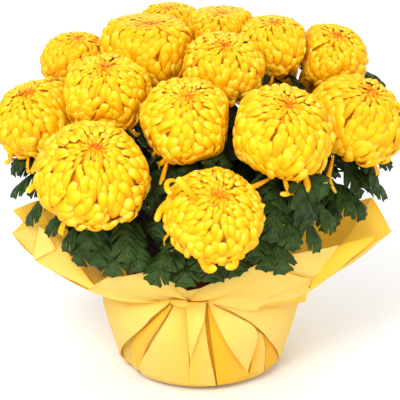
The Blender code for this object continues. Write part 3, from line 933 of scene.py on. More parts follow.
def collar_height(x, y):
    """The height of the collar under or over a place, or None outside it."""
    azimuth = math.degrees(math.atan2(x, -y))
    out = math.hypot(x, y)
    neck_radius, neck_height = side_point(1)
    edge_radius, edge_height = collar_edge(azimuth)
    if out > edge_radius + 4 * MM or out < neck_radius:
        return None
    share = min(1, (out - neck_radius) / (edge_radius - neck_radius))
    return neck_height + share * (edge_height - neck_height)


print("collar points:", len(COLLAR_EDGE))

# %% The creases
# Each crease: azimuth at the foot, at the neck and at the edge in degrees, and how far it stands out
# at the foot and at the neck in mm. Where the azimuth at the foot steps back, the sheet is folded
# over itself into a pleat.
CREASES = (
    (-187, -187, -187, 0, 0),
    (-172, -168, -172, 2, 2),
    (-160, -150, -161, -2, -1),
    (-148, -134, -150, 2, 2),
    (-132, -112, -135, -2, -1),
    (-118, -92, -120, 2, 1),
    (-106, -76, -109, -1, -1),
    (-97, -64, -97, 2, 2),
    (-94, -59, -91.5, 1, 1),
    (-92, -56, -90, 0, 0),
    (-90, -52, -88.5, 0, 0),
    (-82, -40, -75, 1, 2),
    (-73, -29, -62, 0, -1),
    (-63, -18, -50, 6, 2),
    (-71, -20, -46, 0, -2),
    (-60, -17, -42, -3, -2),
    (-51, -15, -38, 4, 1),
    (-38, -13, -29, 2, -1),
    (-24, -11, -20, 1, 0),
    (-12, -9, -13, -1, -3),
    (-7, -7, -7, 2, -6),
    (0, -5, -2, -1, -3),
    (8, -3, 8, -4, -2),
    (20, 0, 18, -4, -1),
    (31, 3, 28, 6, 2),
    (37, 5, 33, 1, -1),
    (48, 8, 37, 0, 0),
    (60, 11, 42, 6, 2),
    (67, 13, 49, 0, -2),
    (57, 15, 56, -3, -2),
    (73, 26, 66, 2, 1),
    (84, 40, 78, 0, -1),
    (92, 52, 90, 2, 2),
    (100, 63, 98, -1, 0),
    (112, 80, 110, 2, 1),
    (124, 98, 120, -2, -1),
    (138, 118, 135, 2, 2),
    (151, 136, 150, -2, -1),
    (162, 153, 165, 2, 2),
    (173, 173, 173, 0, 0),
)
COLUMNS_BETWEEN = 6
SIDE_RINGS = 30
COLLAR_RINGS = 30
PINCH_DEPTH = 12 * MM
PINCH_WIDTH = 14
PAPER_THICK = 0.35 * MM
# How far the sheet steps back, in mm, behind the folded layers at the front.
STEP_BACK = 2.5
# The least painted shade on the sheet's inner side.
INNER_PAINTED_SHADE = 0.55


def wrap_columns():
    """Every column's azimuths and offsets, with a slight bulge between creases."""
    columns = []
    for before, after in zip(CREASES, CREASES[1:]):
        for step in range(COLUMNS_BETWEEN):
            share = step / COLUMNS_BETWEEN
            bulge = math.sin(math.pi * share)
            row = [low + share * (high - low) for low, high in zip(before, after)]
            wide = abs(after[0] - before[0]) / 12
            row[3] += 0.6 * bulge * wide
            row[4] += 0.3 * bulge * wide
            columns.append(row)
    return columns


def paper_point(column, level):
    """A point of the sheet: level 0 at the foot, 1 at the neck and 2 at the collar's edge."""
    foot, neck, edge, foot_out, neck_out = column
    if level <= 1:
        radius, height = side_point(level)
        eased = level ** 1.15
        azimuth = foot + (neck - foot) * eased
        stand = foot_out + (neck_out - foot_out) * level
        behind = min(1, max(0, (82 - abs(azimuth)) / 20))
        stand = (stand * (1 - 0.6 * behind) - STEP_BACK * behind) * min(1, 6 * level) * MM
        pinched = PINCH_DEPTH * level ** 3 * math.exp(-(((azimuth - PINCH) / PINCH_WIDTH) ** 2))
        return direction(azimuth) * (radius + stand - pinched) + UP * height
    share = level - 1
    azimuth = neck + (edge - neck) * (1 - (1 - share) ** 1.6)
    edge_radius, edge_height = collar_edge(edge)
    radius, height = side_point(1)
    pinched = PINCH_DEPTH * math.exp(-(((neck - PINCH) / PINCH_WIDTH) ** 2))
    radius += neck_out * MM - pinched
    sag = COLLAR_SAG * math.sin(math.pi * share)
    radius += share * (edge_radius - radius) + sag
    height += share * (edge_height - height) - sag
    return direction(azimuth) * radius + UP * height


def store_painted_shade(piece, painted_shades):
    """Stores how much painted shade each point gets among the folds, for the paper's finish."""
    layer = piece.data.attributes.new("painted_shade", "FLOAT", "POINT")
    layer.data.foreach_set("value", np.clip(np.array(painted_shades, dtype=np.float32), 0, 1))


def make_sheet():
    """The sheet as a grid of faces, closed round the pot and under it."""
    columns = wrap_columns()
    levels = [step / SIDE_RINGS for step in range(SIDE_RINGS)]
    levels += [1 + step / COLLAR_RINGS for step in range(COLLAR_RINGS + 1)]
    width = len(columns)
    bpy.ops.object.select_all(action="DESELECT")
    bpy.ops.mesh.primitive_cylinder_add(vertices=width, radius=0.1, depth=0.1, end_fill_type="NOTHING")
    sheet = bpy.context.object
    sheet.name = "paper_wrap"
    settle(sheet)
    choose(sheet, lambda place: True)
    bpy.ops.mesh.delete(type="VERT")
    bpy.ops.object.mode_set(mode="OBJECT")
    points = [paper_point(column, level) for level in levels for column in columns]
    faces = []
    for ring in range(len(levels) - 1):
        for step in range(width):
            after = (step + 1) % width
            low, high = ring * width, (ring + 1) * width
            faces.append((low + step, low + after, high + after, high + step))
    middle = len(points)
    points.append(Vector((0, 0, 0)))
    for step in range(width):
        faces.append((middle, (step + 1) % width, step))
    sheet.data.from_pydata([tuple(point) for point in points], [], faces)
    sheet.data.update()
    # Painted shade: darker in the hollows between the side's creases, paler on its ridges, and on the
    # collar darker toward the neck, paler toward the edge.
    painted_shades = [0.55 - 0.12 * column[3] if level <= 1 else 0.15 + 0.45 * (2 - level) ** 2
             for level in levels for column in columns]
    store_painted_shade(sheet, painted_shades + [0.5])
    return sheet


paper_sheet = make_sheet()
print("the sheet:", len(paper_sheet.data.polygons), "faces")

# %% The folded layers over the front
# Each layer lies between two folds that run from the pinch. A fold is a row of points: azimuth in
# degrees, height in mm, and how far it stands off the plain side in mm.
LAYERS = {
    "left_panel": (
        ((-15.8, 104.9, -1), (-25.3, 88.9, 5), (-37.6, 63.4, 6.5), (-69.2, 15.9, 3)),
        ((-17.1, 106.3, -2), (-41.5, 97.1, 1), (-76, 84, 0), (-84, 12, 0)),
    ),
    "left_wedge": (
        ((-17.3, 99.5, -3), (-29.3, 77.3, 0), (-44.7, 48.7, 1), (-48.2, 16.7, 2)),
        ((-16.2, 97.7, -3), (-23.1, 76.2, 0), (-34.6, 45.3, 0), (-46, 13.1, 2)),
    ),
    "middle_left": (
        ((-14.8, 100.5, -2), (-18.9, 84.1, 4.5), (-28.4, 54.7, 6), (-46.1, 13.4, 3)),
        ((-7.1, 103.3, -3), (-7, 76.3, 2), (-6.9, 45, 4), (-8.4, 10.9, 4)),
    ),
    "middle_right": (
        ((-6, 103.4, -3), (-5.4, 76.5, 2), (-6.3, 45.1, 4), (-8.4, 10.9, 4)),
        ((2.7, 104, -2), (2.1, 86.6, 4), (4.4, 52, 5), (9.9, 8.7, 3)),
    ),
    "low_right": (
        ((3.4, 99.5, -3), (5, 75, 1), (7.8, 41.7, 2), (11, 7.3, 2.4)),
        ((6.2, 99.4, -3), (14.1, 71.4, 0), (24.2, 40.4, 1), (34.2, 14.4, 2)),
    ),
    "right_inner": (
        ((27.8, 75, 1), (32.2, 51, 2), (33.8, 17.1, 2)),
        ((36.5, 61.7, 3.5), (41.5, 38.4, 4), (46.5, 12, 3)),
    ),
    "right_wedge": (
        ((37.7, 59.5, 0), (43.1, 38.4, 0), (48.3, 11.7, 2)),
        ((41.3, 56.3, 0), (56.1, 35, 0), (68, 12, 2)),
    ),
    "right_panel": (
        ((4.3, 104.4, -1), (16.3, 96.3, 6), (30.5, 74.5, 8), (43, 50.4, 6), (66, 13, 3)),
        ((5.4, 105.9, -2), (30, 100.3, 1), (66, 88, 0), (78, 60, 0), (84, 12, 0)),
    ),
    "big_pleat": (
        ((3.7, 104.8, 0), (7, 90, 7), (12.1, 68.1, 10), (19.4, 45, 9), (29.8, 20.3, 5)),
        ((4.8, 104.8, 0), (15.9, 94.3, 8.5), (27.2, 78.2, 10.5), (30.5, 59, 9.5), (30.4, 21.3, 5)),
    ),
    "tongue": (
        ((-7.8, 106.4, 2), (-6.9, 90.4, 8), (-6.6, 68.5, 9), (-6.2, 43.7, 6)),
        ((2.6, 106.8, 2), (1.5, 91.2, 9), (-2, 69.3, 10), (-5.6, 43.8, 6)),
    ),
    "band": (
        ((-16.4, 107.1, 2), (-11.9, 108.4, 3), (-7.2, 108, 3)),
        ((-16, 102.6, 1), (-12.1, 100.6, 2), (-7.2, 100.7, 3)),
    ),
    "left_cuff": (
        ((-7.5, 108.3, -1), (-13.8, 127.3, 12), (-20.2, 142.9, 22),
         (-30.9, 138.9, 34), (-40.2, 131.5, 39), (-43.7, 122.7, 40)),
        ((-7.5, 106.6, 0), (-11.7, 111.3, 5), (-20, 115, 11),
         (-28.9, 113.3, 15), (-40.8, 105.5, 19), (-46.1, 103.6, 24)),
    ),
    "cuff_r1": (
        ((-5.9, 108.4, -1), (-2.5, 119, 4), (4.3, 128.7, 10),
         (14.2, 139.2, 19), (20.8, 148.3, 26), (27.4, 155.7, 31)),
        ((-5.8, 107.2, 1), (-0.5, 109.2, 5), (5.3, 113.2, 10),
         (14.7, 121.6, 16), (20.3, 125.3, 19), (25.5, 129.8, 22)),
    ),
    "cuff_r2": (
        ((2.7, 106.5, -1), (10.6, 113.6, 5), (21.6, 122.6, 13),
         (28.1, 153, 30), (41.4, 157.5, 38), (62.5, 151.1, 47)),
        ((3.2, 104.9, 0), (11.7, 103, 5), (25.9, 96.4, 11),
         (32.1, 102.2, 14), (48.8, 103.3, 24), (50.1, 124.5, 38)),
    ),
    "cuff_r3": (
        ((11.1, 105.6, 1), (26, 105.1, 4), (43.8, 108.4, 14), (56.4, 108.1, 22)),
        ((11.9, 102.1, 3), (28.4, 97.6, 6), (47.6, 93.3, 14), (56.6, 90.5, 20)),
    ),
    "right_under": (
        ((50, 122.2, 37), (55.8, 138.4, 42), (63.4, 149, 46), (71.6, 155.2, 74)),
        ((49.1, 109.3, 33), (57.1, 122.3, 45), (63.2, 139.2, 60), (70.3, 153.8, 76)),
    ),
    "left_flap": (
        ((-74.5, 163.1, 62.1), (-70.7, 156.8, 54.6), (-65.4, 150.3, 46.1),
         (-56.1, 136.7, 40.5), (-45.8, 120.8, 39.1)),
        ((-74.5, 131.3, 69.2), (-72.9, 126.6, 67.2), (-63.7, 122.7, 54.9),
         (-54.6, 119.5, 45.5), (-47.8, 117.4, 41.4)),
    ),
    "left_corner": (
        ((-88.5, 138, 87.4), (-81.7, 135, 76.6), (-74.2, 132.2, 69.3)),
        ((-88.2, 138.9, 85.8), (-81.5, 150.9, 73), (-73.8, 163.3, 62)),
    ),
    "left_facet": (
        ((-73.1, 163.6, 62.3), (-72.5, 145.9, 66.3), (-71.8, 130.8, 69.8)),
        ((-69.2, 159.7, 57.7), (-67.6, 152.1, 54.2), (-65.6, 146.1, 51.9), (-65.5, 144.5, 52.8),
         (-68.1, 137.9, 60.4), (-70.5, 131.5, 67.7))
    ),
    "left_inside": (
        ((-46.9, 119.8, 33.2), (-53.3, 125.7, 32.6), (-59.7, 133.3, 33.8)),
        ((-46.7, 120.5, 22.4), (-49.3, 128.2, 15.2), (-54.5, 136.6, 12.4)),
    ),
}
ON_THE_FOOT = ("left_panel", "left_wedge", "middle_left", "middle_right", "low_right", "right_inner",
               "right_wedge", "right_panel")
OFF_THE_PINCH = ("right_under", "left_flap", "left_corner", "left_facet", "left_inside", "right_inner")
LAYER_STEPS = 22
LAYER_WIDTH = 8
# Across a layer: the place between its two folds, and how far the paper turns under there in mm.
ACROSS = [(0.10, -1.8), (0.025, -1.0), (0.0, -0.3)]
ACROSS += [((step + 0.35) / (LAYER_WIDTH - 0.3), 0.0) for step in range(LAYER_WIDTH)]
ACROSS += [(1.0, -0.3), (0.975, -1.0), (0.90, -1.8)]


# How much painted shade the paper gets along the first and the second fold of a layer: 0 none, pale, 1
# full, golden.
LAYER_PAINTED_SHADE = {
    "left_panel": (0.0, 0.40), "left_wedge": (1.0, 0.55), "middle_left": (0.05, 0.50),
    "middle_right": (0.65, 0.30), "low_right": (1.0, 0.85), "right_inner": (0.9, 0.0),
    "right_wedge": (1.0, 0.9), "right_panel": (0.0, 0.40), "big_pleat": (0.20, 0.0),
    "tongue": (0.40, 0.0), "band": (0.5, 0.5), "left_cuff": (0.0, 0.15), "cuff_r1": (0.05, 0.40),
    "cuff_r2": (0.0, 0.15), "cuff_r3": (0.35, 0.65), "right_under": (0.9, 0.7), "left_flap": (0.50, 0.15),
    "left_corner": (0.45, 0.35), "left_facet": (0.05, 0.0), "left_inside": (0.0, 0.45),
}


def side_radius(height):
    """The radius of the plain side at a height, both in mm; a cylinder above the neck."""
    for low, high in zip(WRAP_SIDE, WRAP_SIDE[1:]):
        if height <= high[1]:
            share = (height - low[1]) / (high[1] - low[1])
            return low[0] + share * (high[0] - low[0])
    return WRAP_SIDE[-1][0]


def fold_row(points, on_foot):
    """A smooth row of points through the points of one fold, tucked under the foot if it is there."""
    points = np.array(points, dtype=float)
    ends = np.vstack((2 * points[0] - points[1], points, 2 * points[-1] - points[-2]))
    row = []
    for step in range(LAYER_STEPS + 1):
        place = min(step / LAYER_STEPS * (len(points) - 1), len(points) - 1 - 1e-6)
        index = int(place)
        share = place - index
        before, low, high, after = ends[index:index + 4]
        row.append(0.5 * (2 * low + (high - before) * share
                          + (2 * before - 5 * low + 4 * high - after) * share ** 2
                          + (3 * low - before - 3 * high + after) * share ** 3))
    if on_foot:
        azimuth, _, stand = row[-1]
        row.append(np.array((azimuth, 5.0, 0.6 * stand)))
        row.append(np.array((azimuth, 0.9, 0.0)))
    return row


def painted_shade_between(painted_shades, share, down, pinched):
    """A layer's painted shade between its two folds, with more painted shade close to the pinch."""
    first, second = painted_shades
    return first + share * (second - first) + pinched * 0.55 * math.exp(-down / 0.12)


def make_layer(name):
    """One folded layer: a grid between its two folds, with both edges turned under."""
    on_foot = name in ON_THE_FOOT
    first, second = (fold_row(points, on_foot) for points in LAYERS[name])
    rows = len(first)
    bpy.ops.object.select_all(action="DESELECT")
    bpy.ops.mesh.primitive_grid_add(x_subdivisions=len(ACROSS) - 1, y_subdivisions=rows - 1, size=2)
    layer = bpy.context.object
    layer.name = f"layer_{name}"
    painted_shades = [0.0] * len(layer.data.vertices)
    for point in layer.data.vertices:
        column = round((point.co.x + 1) / 2 * (len(ACROSS) - 1))
        row = round((point.co.y + 1) / 2 * (rows - 1))
        share, under = ACROSS[column]
        azimuth, height, stand = first[row] + share * (second[row] - first[row])
        swell = 1.6 * math.sin(math.pi * share) * math.sin(math.pi * min(1, row / LAYER_STEPS))
        radius = side_radius(height) + stand + under + swell
        point.co = direction(azimuth) * (radius * MM) + UP * (height * MM)
        # Painted shade for this point, from the layer's folds and the pinch.
        painted_shades[point.index] = painted_shade_between(LAYER_PAINTED_SHADE[name], share, row / rows, name not in OFF_THE_PINCH)
    settle(layer)
    if sum(face.normal.dot(face.center.xy.to_3d()) for face in layer.data.polygons) < 0:
        choose(layer, lambda place: True)
        bpy.ops.mesh.flip_normals()
        settle(layer)
    store_painted_shade(layer, painted_shades)
    return layer


layers = [make_layer(name) for name in LAYERS]
print(len(layers), "layers of", len(layers[0].data.polygons), "faces or so")
paper_sheet = join_all("paper_wrap", [paper_sheet] + layers)

# %% The paper's finish


def paper_finish():
    """Pale yellow paper: matt, fibrous, lets light through, with painted shade in gold in its folds, under
    its layers and on its inner side.
    """
    finish = Finish("paper", 0.62)
    cloud = finish.noise(9, 3)
    fibre = finish.noise(650, 4, finish.place((1, 1, 0.35)))
    body = finish.ramp(cloud, ((0.3, (1.0, 0.86, 0.21)), (0.7, (1.0, 0.90, 0.26))))
    # Painted shade: the paper turns gold as far as each point's stored shade value goes.
    body = finish.blend(finish.attribute("painted_shade"), body, (1.0, 0.65, 0.025))
    shade = finish.sum("MULTIPLY_ADD", fibre, 0.08, 0.95)
    finish.colour(finish.blend(1.0, body, shade, "MULTIPLY"))
    finish.bump(finish.sum("ADD", fibre, finish.noise(60, 2)), 0.10, 0.0005)
    finish.set("Specular IOR Level", 0.25)
    finish.set("Sheen Weight", 0.15)
    finish.set("Sheen Roughness", 0.5)
    finish.let_light_through(0.50, (1.0, 0.74, 0.10))
    return finish.material


paper_material = paper_finish()
paper_sheet.data.materials.clear()
paper_sheet.data.materials.append(paper_material)
outer_points = len(paper_sheet.data.vertices)
apply_modifier(paper_sheet, "SOLIDIFY", thickness=PAPER_THICK, offset=-1)
# The points of the inner side get at least that painted shade.
for point in paper_sheet.data.attributes["painted_shade"].data[outer_points:]:
    point.value = max(point.value, INNER_PAINTED_SHADE)
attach(paper_sheet, "root")
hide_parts("wrap")
print("the paper:", triangles(paper_sheet), "triangles")

# %% [markdown]
# ## Leaves
# The leaf of this plant is dark green and lobed like an oak's: two pairs of rounded lobes and an
# end lobe, each with blunt teeth, and all swept forward. A pale rib runs down the middle and a vein
# into every lobe. A flat card with a cut-out picture would do from afar, but not from the side. Here
# one blade is cut from a grid: its rows are scaled to the lobed outline, its columns slide forward,
# and its veins are pressed in. It gets its thickness from Solidify, and each copy is arched and bent
# clear of the blooms and of the paper.

# %% One leaf, cut from a grid
LOBE_PITCH = 0.31
FIRST_LOBE = 0.25
LOBE_SWEEP = 0.90
STALK_SHARE = 0.30
LONGEST_BLADE = 50 * MM


def lobed(share):
    """Half the leaf's width at a share of its length, as a share of its length."""
    hull = 0.32 * math.sin(math.pi * min(1, 0.04 + 0.96 * share) ** 0.92) ** 0.45
    swing = (share - FIRST_LOBE) / LOBE_PITCH
    place = abs(2 * ((swing + 0.5) % 1) - 1)
    dome = max(0, 1 - (place / 0.92) ** 2.6) ** 0.5
    tooth = 0.5 - 0.5 * math.cos(math.tau * 3 * swing)
    foot = min(1, max(0.10, (share - 0.06) / 0.10))
    return max(0.012, hull * (0.27 + 0.73 * dome) * (1 - 0.12 * tooth) * foot)


def model_leaf(rows, columns):
    """A lobed blade along Y from 0 to 1 with a stalk behind it, as thick as a share of its length."""
    bpy.ops.object.select_all(action="DESELECT")
    bpy.ops.mesh.primitive_grid_add(
        x_subdivisions=columns, y_subdivisions=rows, size=1, location=(0, 0.5, 0)
    )
    leaf = bpy.context.object
    leaf.name = "leaf_pattern"
    settle(leaf)
    points = np.array([point.co for point in leaf.data.vertices])
    share = points[:, 1].copy()
    across = points[:, 0] * 2
    half = np.array([lobed(value) for value in share])
    tip = np.clip((1 - share) / 0.10, 0, 1) ** 0.5
    out = across * half * tip
    points[:, 0] = out
    points[:, 1] = share + LOBE_SWEEP * np.abs(out) * np.clip((1 - share) / 0.3, 0, 1)
    points[:, 1] -= STALK_SHARE * np.clip(1 - share / 0.06, 0, 1)
    vein = np.cos(np.pi * (share - FIRST_LOBE) / LOBE_PITCH) ** 8
    rib = np.clip(1 - np.abs(across) * 3, 0, 1)
    quilt = 0.034 * (1 - vein) * np.sin(np.pi * np.abs(across)) - 0.012 * rib
    points[:, 2] = quilt * tip
    for point, place in zip(leaf.data.vertices, points):
        point.co = place
    for name, values in (("along", share), ("across", np.abs(across))):
        layer = leaf.data.attributes.new(name, "FLOAT", "POINT")
        layer.data.foreach_set("value", values.astype(np.float32))
    apply_modifier(leaf, "SOLIDIFY", thickness=0.009, offset=0)
    return leaf


def leaf_arrays(rows, columns):
    """The leaf pattern's points, faces and marks."""
    leaf = model_leaf(rows, columns)
    points, faces = mesh_arrays(leaf)
    marks = {}
    for name in ("along", "across"):
        values = np.zeros(len(points), dtype=np.float32)
        leaf.data.attributes[name].data.foreach_get("value", values)
        marks[name] = values
    print("a leaf of", triangles(leaf), "triangles,", [round(value, 2) for value in leaf.dimensions])
    bpy.data.objects.remove(leaf, do_unlink=True)
    return points, faces, marks


outer_leaf = leaf_arrays(46, 6)
inner_leaf = leaf_arrays(24, 4)

# %% The leaf's finish


def leaf_finish():
    """Dark green, mottled, with pale veins and a soft waxy sheen, and painted shade, near black, on the
    leaves inside the bush.
    """
    finish = Finish("leaf", 0.52)
    along = finish.attribute("along")
    across = finish.attribute("across")
    tone = finish.attribute("tone")
    swing = finish.sum("MULTIPLY_ADD", along, 1 / LOBE_PITCH, -FIRST_LOBE / LOBE_PITCH)
    side = finish.sum("ABSOLUTE", finish.sum("SUBTRACT", swing, finish.sum("ROUND", swing, 0)), 0)
    width = finish.sum("MULTIPLY_ADD", across, -0.05, 0.07)
    vein = finish.sum("SUBTRACT", width, side)
    rib = finish.sum("SUBTRACT", 0.07, across)
    line = finish.sum("MAXIMUM", vein, rib)
    line = finish.ramp(line, ((0.0, (0, 0, 0)), (0.05, (1, 1, 1))))
    mottle = finish.noise(140, 4)
    body = finish.ramp(mottle, ((0.32, (0.006, 0.018, 0.002)), (0.70, (0.028, 0.062, 0.007))))
    body = finish.blend(finish.sum("MULTIPLY", tone, 0.5), body, (0.036, 0.068, 0.009))
    body = finish.blend(finish.sum("MULTIPLY", line, 0.45), body, (0.075, 0.115, 0.030))
    # Painted shade: leaves inside the bush turn near black.
    painted_shade = finish.attribute("painted_shade")
    finish.colour(finish.blend(finish.sum("MULTIPLY", painted_shade, 0.8), body, (0.003, 0.007, 0.001)))
    height = finish.sum("MULTIPLY_ADD", line, -0.6, finish.noise(420, 3))
    finish.bump(height, 0.35, 0.0008)
    finish.set("Specular IOR Level", 0.16)
    return finish.material


leaf_material = leaf_finish()
print("leaf finish with", len(leaf_material.node_tree.nodes), "nodes")

# %% Where the leaves grow
# Each leaf: the branch it grows on and how far up, its tip in mm, and its roll in degrees.
LEAVES = {
    "leafy_stem_1": (
        ("bloom_02", 0.50, (-47, -142, 140), -14),
        ("bloom_02", 0.42, (-15, -148, 139), 8),
        ("bloom_02", 0.46, (12, -148, 144), -6),
        ("bloom_02", 0.52, (36, -141, 148), 16),
        ("bloom_04", 0.40, (-44, -116, 178), -20),
        ("bloom_04", 0.44, (28, -114, 184), 20),
        ("bloom_04", 0.62, (-14, -124, 198), 0),
        ("bloom_02", 0.58, (-32, -140, 152), 6),
        ("bloom_02", 0.62, (-2, -146, 154), -10),
        ("bloom_02", 0.58, (24, -142, 156), 12),
        ("bloom_04", 0.84, (-62, -52, 206), -6),
        ("bloom_04", 0.78, (-58, -28, 200), 8),
    ),
    "leafy_stem_2": (
        ("bloom_03", 0.44, (60, -136, 150), -16),
        ("bloom_03", 0.50, (78, -128, 144), 8),
        ("bloom_03", 0.60, (112, -102, 156), -4),
        ("bloom_03", 0.66, (128, -88, 172), 14),
        ("bloom_03", 0.74, (64, -134, 178), -22),
        ("bloom_03", 0.84, (100, -118, 186), 4),
        ("bloom_03", 0.54, (50, -136, 160), 6),
        ("bloom_03", 0.62, (86, -126, 166), -12),
    ),
    "leafy_stem_3": (
        ("bloom_13", 0.56, (146, -64, 178), -10),
        ("bloom_13", 0.70, (183, -30, 184), 4),
        ("bloom_13", 0.84, (188, -22, 214), 10),
        ("bloom_13", 0.62, (174, 18, 172), 10),
        ("bloom_12", 0.52, (150, 58, 184), 0),
        ("bloom_12", 0.66, (170, 44, 214), 14),
        ("bloom_13", 0.84, (124, -30, 192), 0),
        ("bloom_13", 0.60, (160, -46, 168), 6),
    ),
    "leafy_stem_4": (
        ("bloom_18", 0.56, (146, 96, 162), -10),
        ("bloom_18", 0.64, (116, 130, 164), 10),
        ("bloom_17", 0.56, (72, 150, 158), -10),
        ("bloom_17", 0.64, (36, 152, 164), 12),
        ("bloom_18", 0.84, (166, 108, 196), 0),
        ("bloom_17", 0.80, (90, 160, 196), 0),
    ),
    "leafy_stem_5": (
        ("bloom_16", 0.58, (8, 158, 160), -12),
        ("bloom_16", 0.66, (-36, 162, 158), 10),
        ("bloom_15", 0.56, (-74, 142, 158), -10),
        ("bloom_15", 0.62, (-112, 116, 164), 10),
        ("bloom_16", 0.80, (-56, 166, 192), 0),
        ("bloom_15", 0.80, (-124, 132, 200), 0),
    ),
    "leafy_stem_6": (
        ("bloom_05", 0.72, (-181, -20, 207), -10),
        ("bloom_05", 0.64, (-186, -38, 188), 6),
        ("bloom_05", 0.56, (-170, -48, 162), 10),
        ("bloom_19", 0.54, (-176, 14, 172), -8),
        ("bloom_19", 0.70, (-190, 46, 192), 6),
        ("bloom_19", 0.58, (-158, 80, 168), 10),
    ),
    "leafy_stem_7": (
        ("bloom_01", 0.52, (-150, -76, 166), -12),
        ("bloom_01", 0.60, (-131, -100, 156), 6),
        ("bloom_01", 0.68, (-116, -112, 146), -6),
        ("bloom_01", 0.56, (-82, -132, 143), 8),
        ("bloom_06", 0.44, (-66, -126, 156), 14),
        ("bloom_01", 0.84, (-104, -136, 172), -4),
        ("bloom_01", 0.60, (-96, -126, 150), 10),
        ("bloom_01", 0.66, (-68, -134, 158), -8),
        ("bloom_01", 0.62, (-56, -132, 148), 12),
        ("bloom_06", 0.88, (-48, -18, 232), 0),
        ("bloom_06", 0.80, (-44, 8, 232), 10),
    ),
}
INNER_LEAVES = 38
LOWEST_TIP = 148 * MM
BODY_SHARE = 1.10
BLOOM_CLEAR = 2.0 * MM
WRAP_CLEAR = 3.0 * MM


def inner_leaves(name, draw):
    """Seeded leaves between the stems, which close the bush under the blooms."""
    start, end, on = SECTORS[name]
    found = []
    for index in range(INNER_LEAVES):
        bloom = on[index % len(on)]
        share = draw.uniform(0.45, 0.98)
        root = branch_point(name, bloom, share)
        azimuth = draw.uniform(start - 25, end + 25)
        away = direction(azimuth) * draw.uniform(0.3, 1.0) + UP * draw.uniform(-1.1, 0.1)
        tip = root + away.normalized() * draw.uniform(48, 76) * MM
        tip.z = max(tip.z, LOWEST_TIP)
        out = tip.xy.length
        tip.xy *= min(1, max(0.7 * collar_edge(azimuth)[0], tip.z - 20 * MM) / out)
        found.append((bloom, share, tuple(tip / MM), draw.uniform(-40, 40)))
    return found


print("leaves to place:", sum(len(rows) for rows in LEAVES.values()), "outer and",
      INNER_LEAVES * len(LEAVES), "inner")

# %% Keep a leaf clear of the blooms and of the collar


def clear_of_blooms(points):
    """Moves points out of every bloom, down along its axis."""
    for bloom in BLOOMS:
        centre, radius, axis, _ = bloom_frame(bloom)
        centre, axis = np.array(centre), np.array(axis)
        offset = points - centre
        along = offset @ axis
        side = offset - along[:, None] * axis
        out = np.linalg.norm(side, axis=1)
        share = np.where(along > 0, CROWN_SHARE, SKIRT_SHARE)
        tall = BODY_SHARE * radius * share + BLOOM_CLEAR
        wide = BODY_SHARE * radius + BLOOM_CLEAR
        inside = (along / tall) ** 2 + (out / wide) ** 2 < 1
        low = BODY_SHARE * radius * SKIRT_SHARE + BLOOM_CLEAR
        drop = low * np.sqrt(np.clip(1 - (out / wide) ** 2, 0, 1))
        moved = centre + side - axis * drop[:, None]
        points = np.where(inside[:, None], moved, points)
    return points


def clear_of_collar(points):
    """Lifts points above the paper's collar."""
    lifted = points.copy()
    for index, (x, y, z) in enumerate(points):
        height = collar_height(x, y)
        if height is not None:
            lifted[index, 2] = max(z, height + WRAP_CLEAR)
    return lifted


def bent_leaf(pattern, root, tip, roll):
    """The leaf pattern laid from its root to its tip, arched and rolled."""
    line = tip - root
    reached = line.length
    length = min(reached / (1 + STALK_SHARE), LONGEST_BLADE)
    line.normalize()
    side = line.cross(UP).normalized()
    face = side.cross(line)
    turn = Matrix.Rotation(math.radians(roll), 3, line)
    side, face = np.array(turn @ side), np.array(turn @ face)
    out, along, rise = pattern[:, 0], pattern[:, 1], pattern[:, 2]
    share = (along + STALK_SHARE) / (1 + STALK_SHARE)
    arch = 0.26 * np.sin(np.pi * share) + 0.10 * np.abs(out) * np.sin(9 * along) - 0.30 * np.abs(out)
    stalk = (reached - length) * np.clip(1 + along / STALK_SHARE, 0, 1)
    points = np.array(root) + np.array(line) * (stalk + length * np.maximum(along, 0))[:, None]
    return points + side * (out * length)[:, None] + face * ((arch + rise) * length)[:, None]


# %% Make the leaves


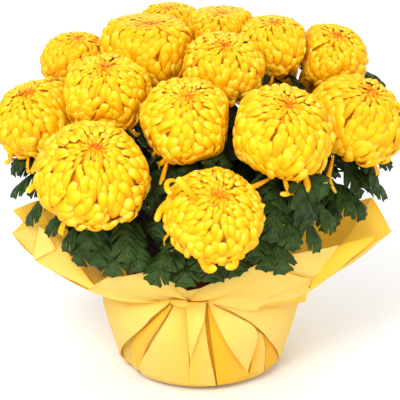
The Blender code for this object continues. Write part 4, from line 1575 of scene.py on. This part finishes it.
def make_leaves(name):
    """All the leaves of one cutting, as one mesh."""
    draw = random.Random(name)
    blocks = []
    for painted_shade, rows, (pattern, faces, marks) in (
        (0, LEAVES[name], outer_leaf), (1, inner_leaves(name, draw), inner_leaf)
    ):
        copies = []
        for bloom, share, tip, roll in rows:
            root = branch_point(name, bloom, share)
            points = bent_leaf(pattern, root, Vector(tip) * MM, roll)
            copies.append(clear_of_collar(clear_of_blooms(points)))
        copies = np.array(copies)
        values = {mark: np.tile(value, (len(copies), 1)) for mark, value in marks.items()}
        tone = np.array([draw.random() for _ in copies])
        values["tone"] = np.tile(tone[:, None], (1, len(pattern)))
        # Painted shade for the inner leaves, stronger the nearer they lie to the middle; the outer leaves
        # get none.
        out = np.hypot(copies[..., 0], copies[..., 1]).max(axis=1)
        inside = np.clip((150 * MM - out) / (50 * MM), 0.2, 1)
        values["painted_shade"] = painted_shade * np.tile(inside[:, None], (1, len(pattern)))
        blocks.append(copied_mesh(f"{name}_block_{len(blocks)}", copies, faces, values, leaf_material))
    leaves = join_all(f"{name}_leaves", blocks)
    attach(leaves, "root")
    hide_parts(name)
    return leaves


leaves = [make_leaves(name) for name in SECTORS]
print(len(leaves), "leafy pieces,", sum(triangles(piece) for piece in leaves), "triangles")

# %% [markdown]
# ## Pot and soil
# Nobody sees much of these two, but they are real: a thin grower's pot of brown plastic, and dark
# peat with grains and a few pale specks. Their solids already have the right form, so they keep it
# and only get their finishes, in the slots of their own objects.

# %% The pot's and the soil's finishes


def pot_finish():
    """Brown moulded plastic with a faint grain."""
    finish = Finish("pot_plastic", 0.45)
    cloud = finish.noise(30, 3)
    finish.colour(finish.ramp(cloud, ((0.3, (0.060, 0.030, 0.018)), (0.7, (0.085, 0.045, 0.028)))))
    finish.bump(finish.noise(900, 2), 0.15, 0.0003)
    return finish.material


def soil_finish():
    """Dark peat: clumps, grains and a few pale specks."""
    finish = Finish("earth", 0.95)
    clump = finish.noise(160, 6)
    body = finish.ramp(clump, ((0.3, (0.010, 0.006, 0.004)), (0.7, (0.055, 0.032, 0.018))))
    speck = finish.ramp(finish.noise(420, 1), ((0.70, (0, 0, 0)), (0.74, (1, 1, 1))))
    finish.colour(finish.blend(speck, body, (0.30, 0.24, 0.17)))
    finish.bump(clump, 1.0, 0.003)
    return finish.material


for node, material in (("pot", pot_finish()), ("soil", soil_finish())):
    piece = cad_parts[node]
    piece.data.materials.clear()
    piece.data.materials.append(material)
    print(node, "wears", material.name)
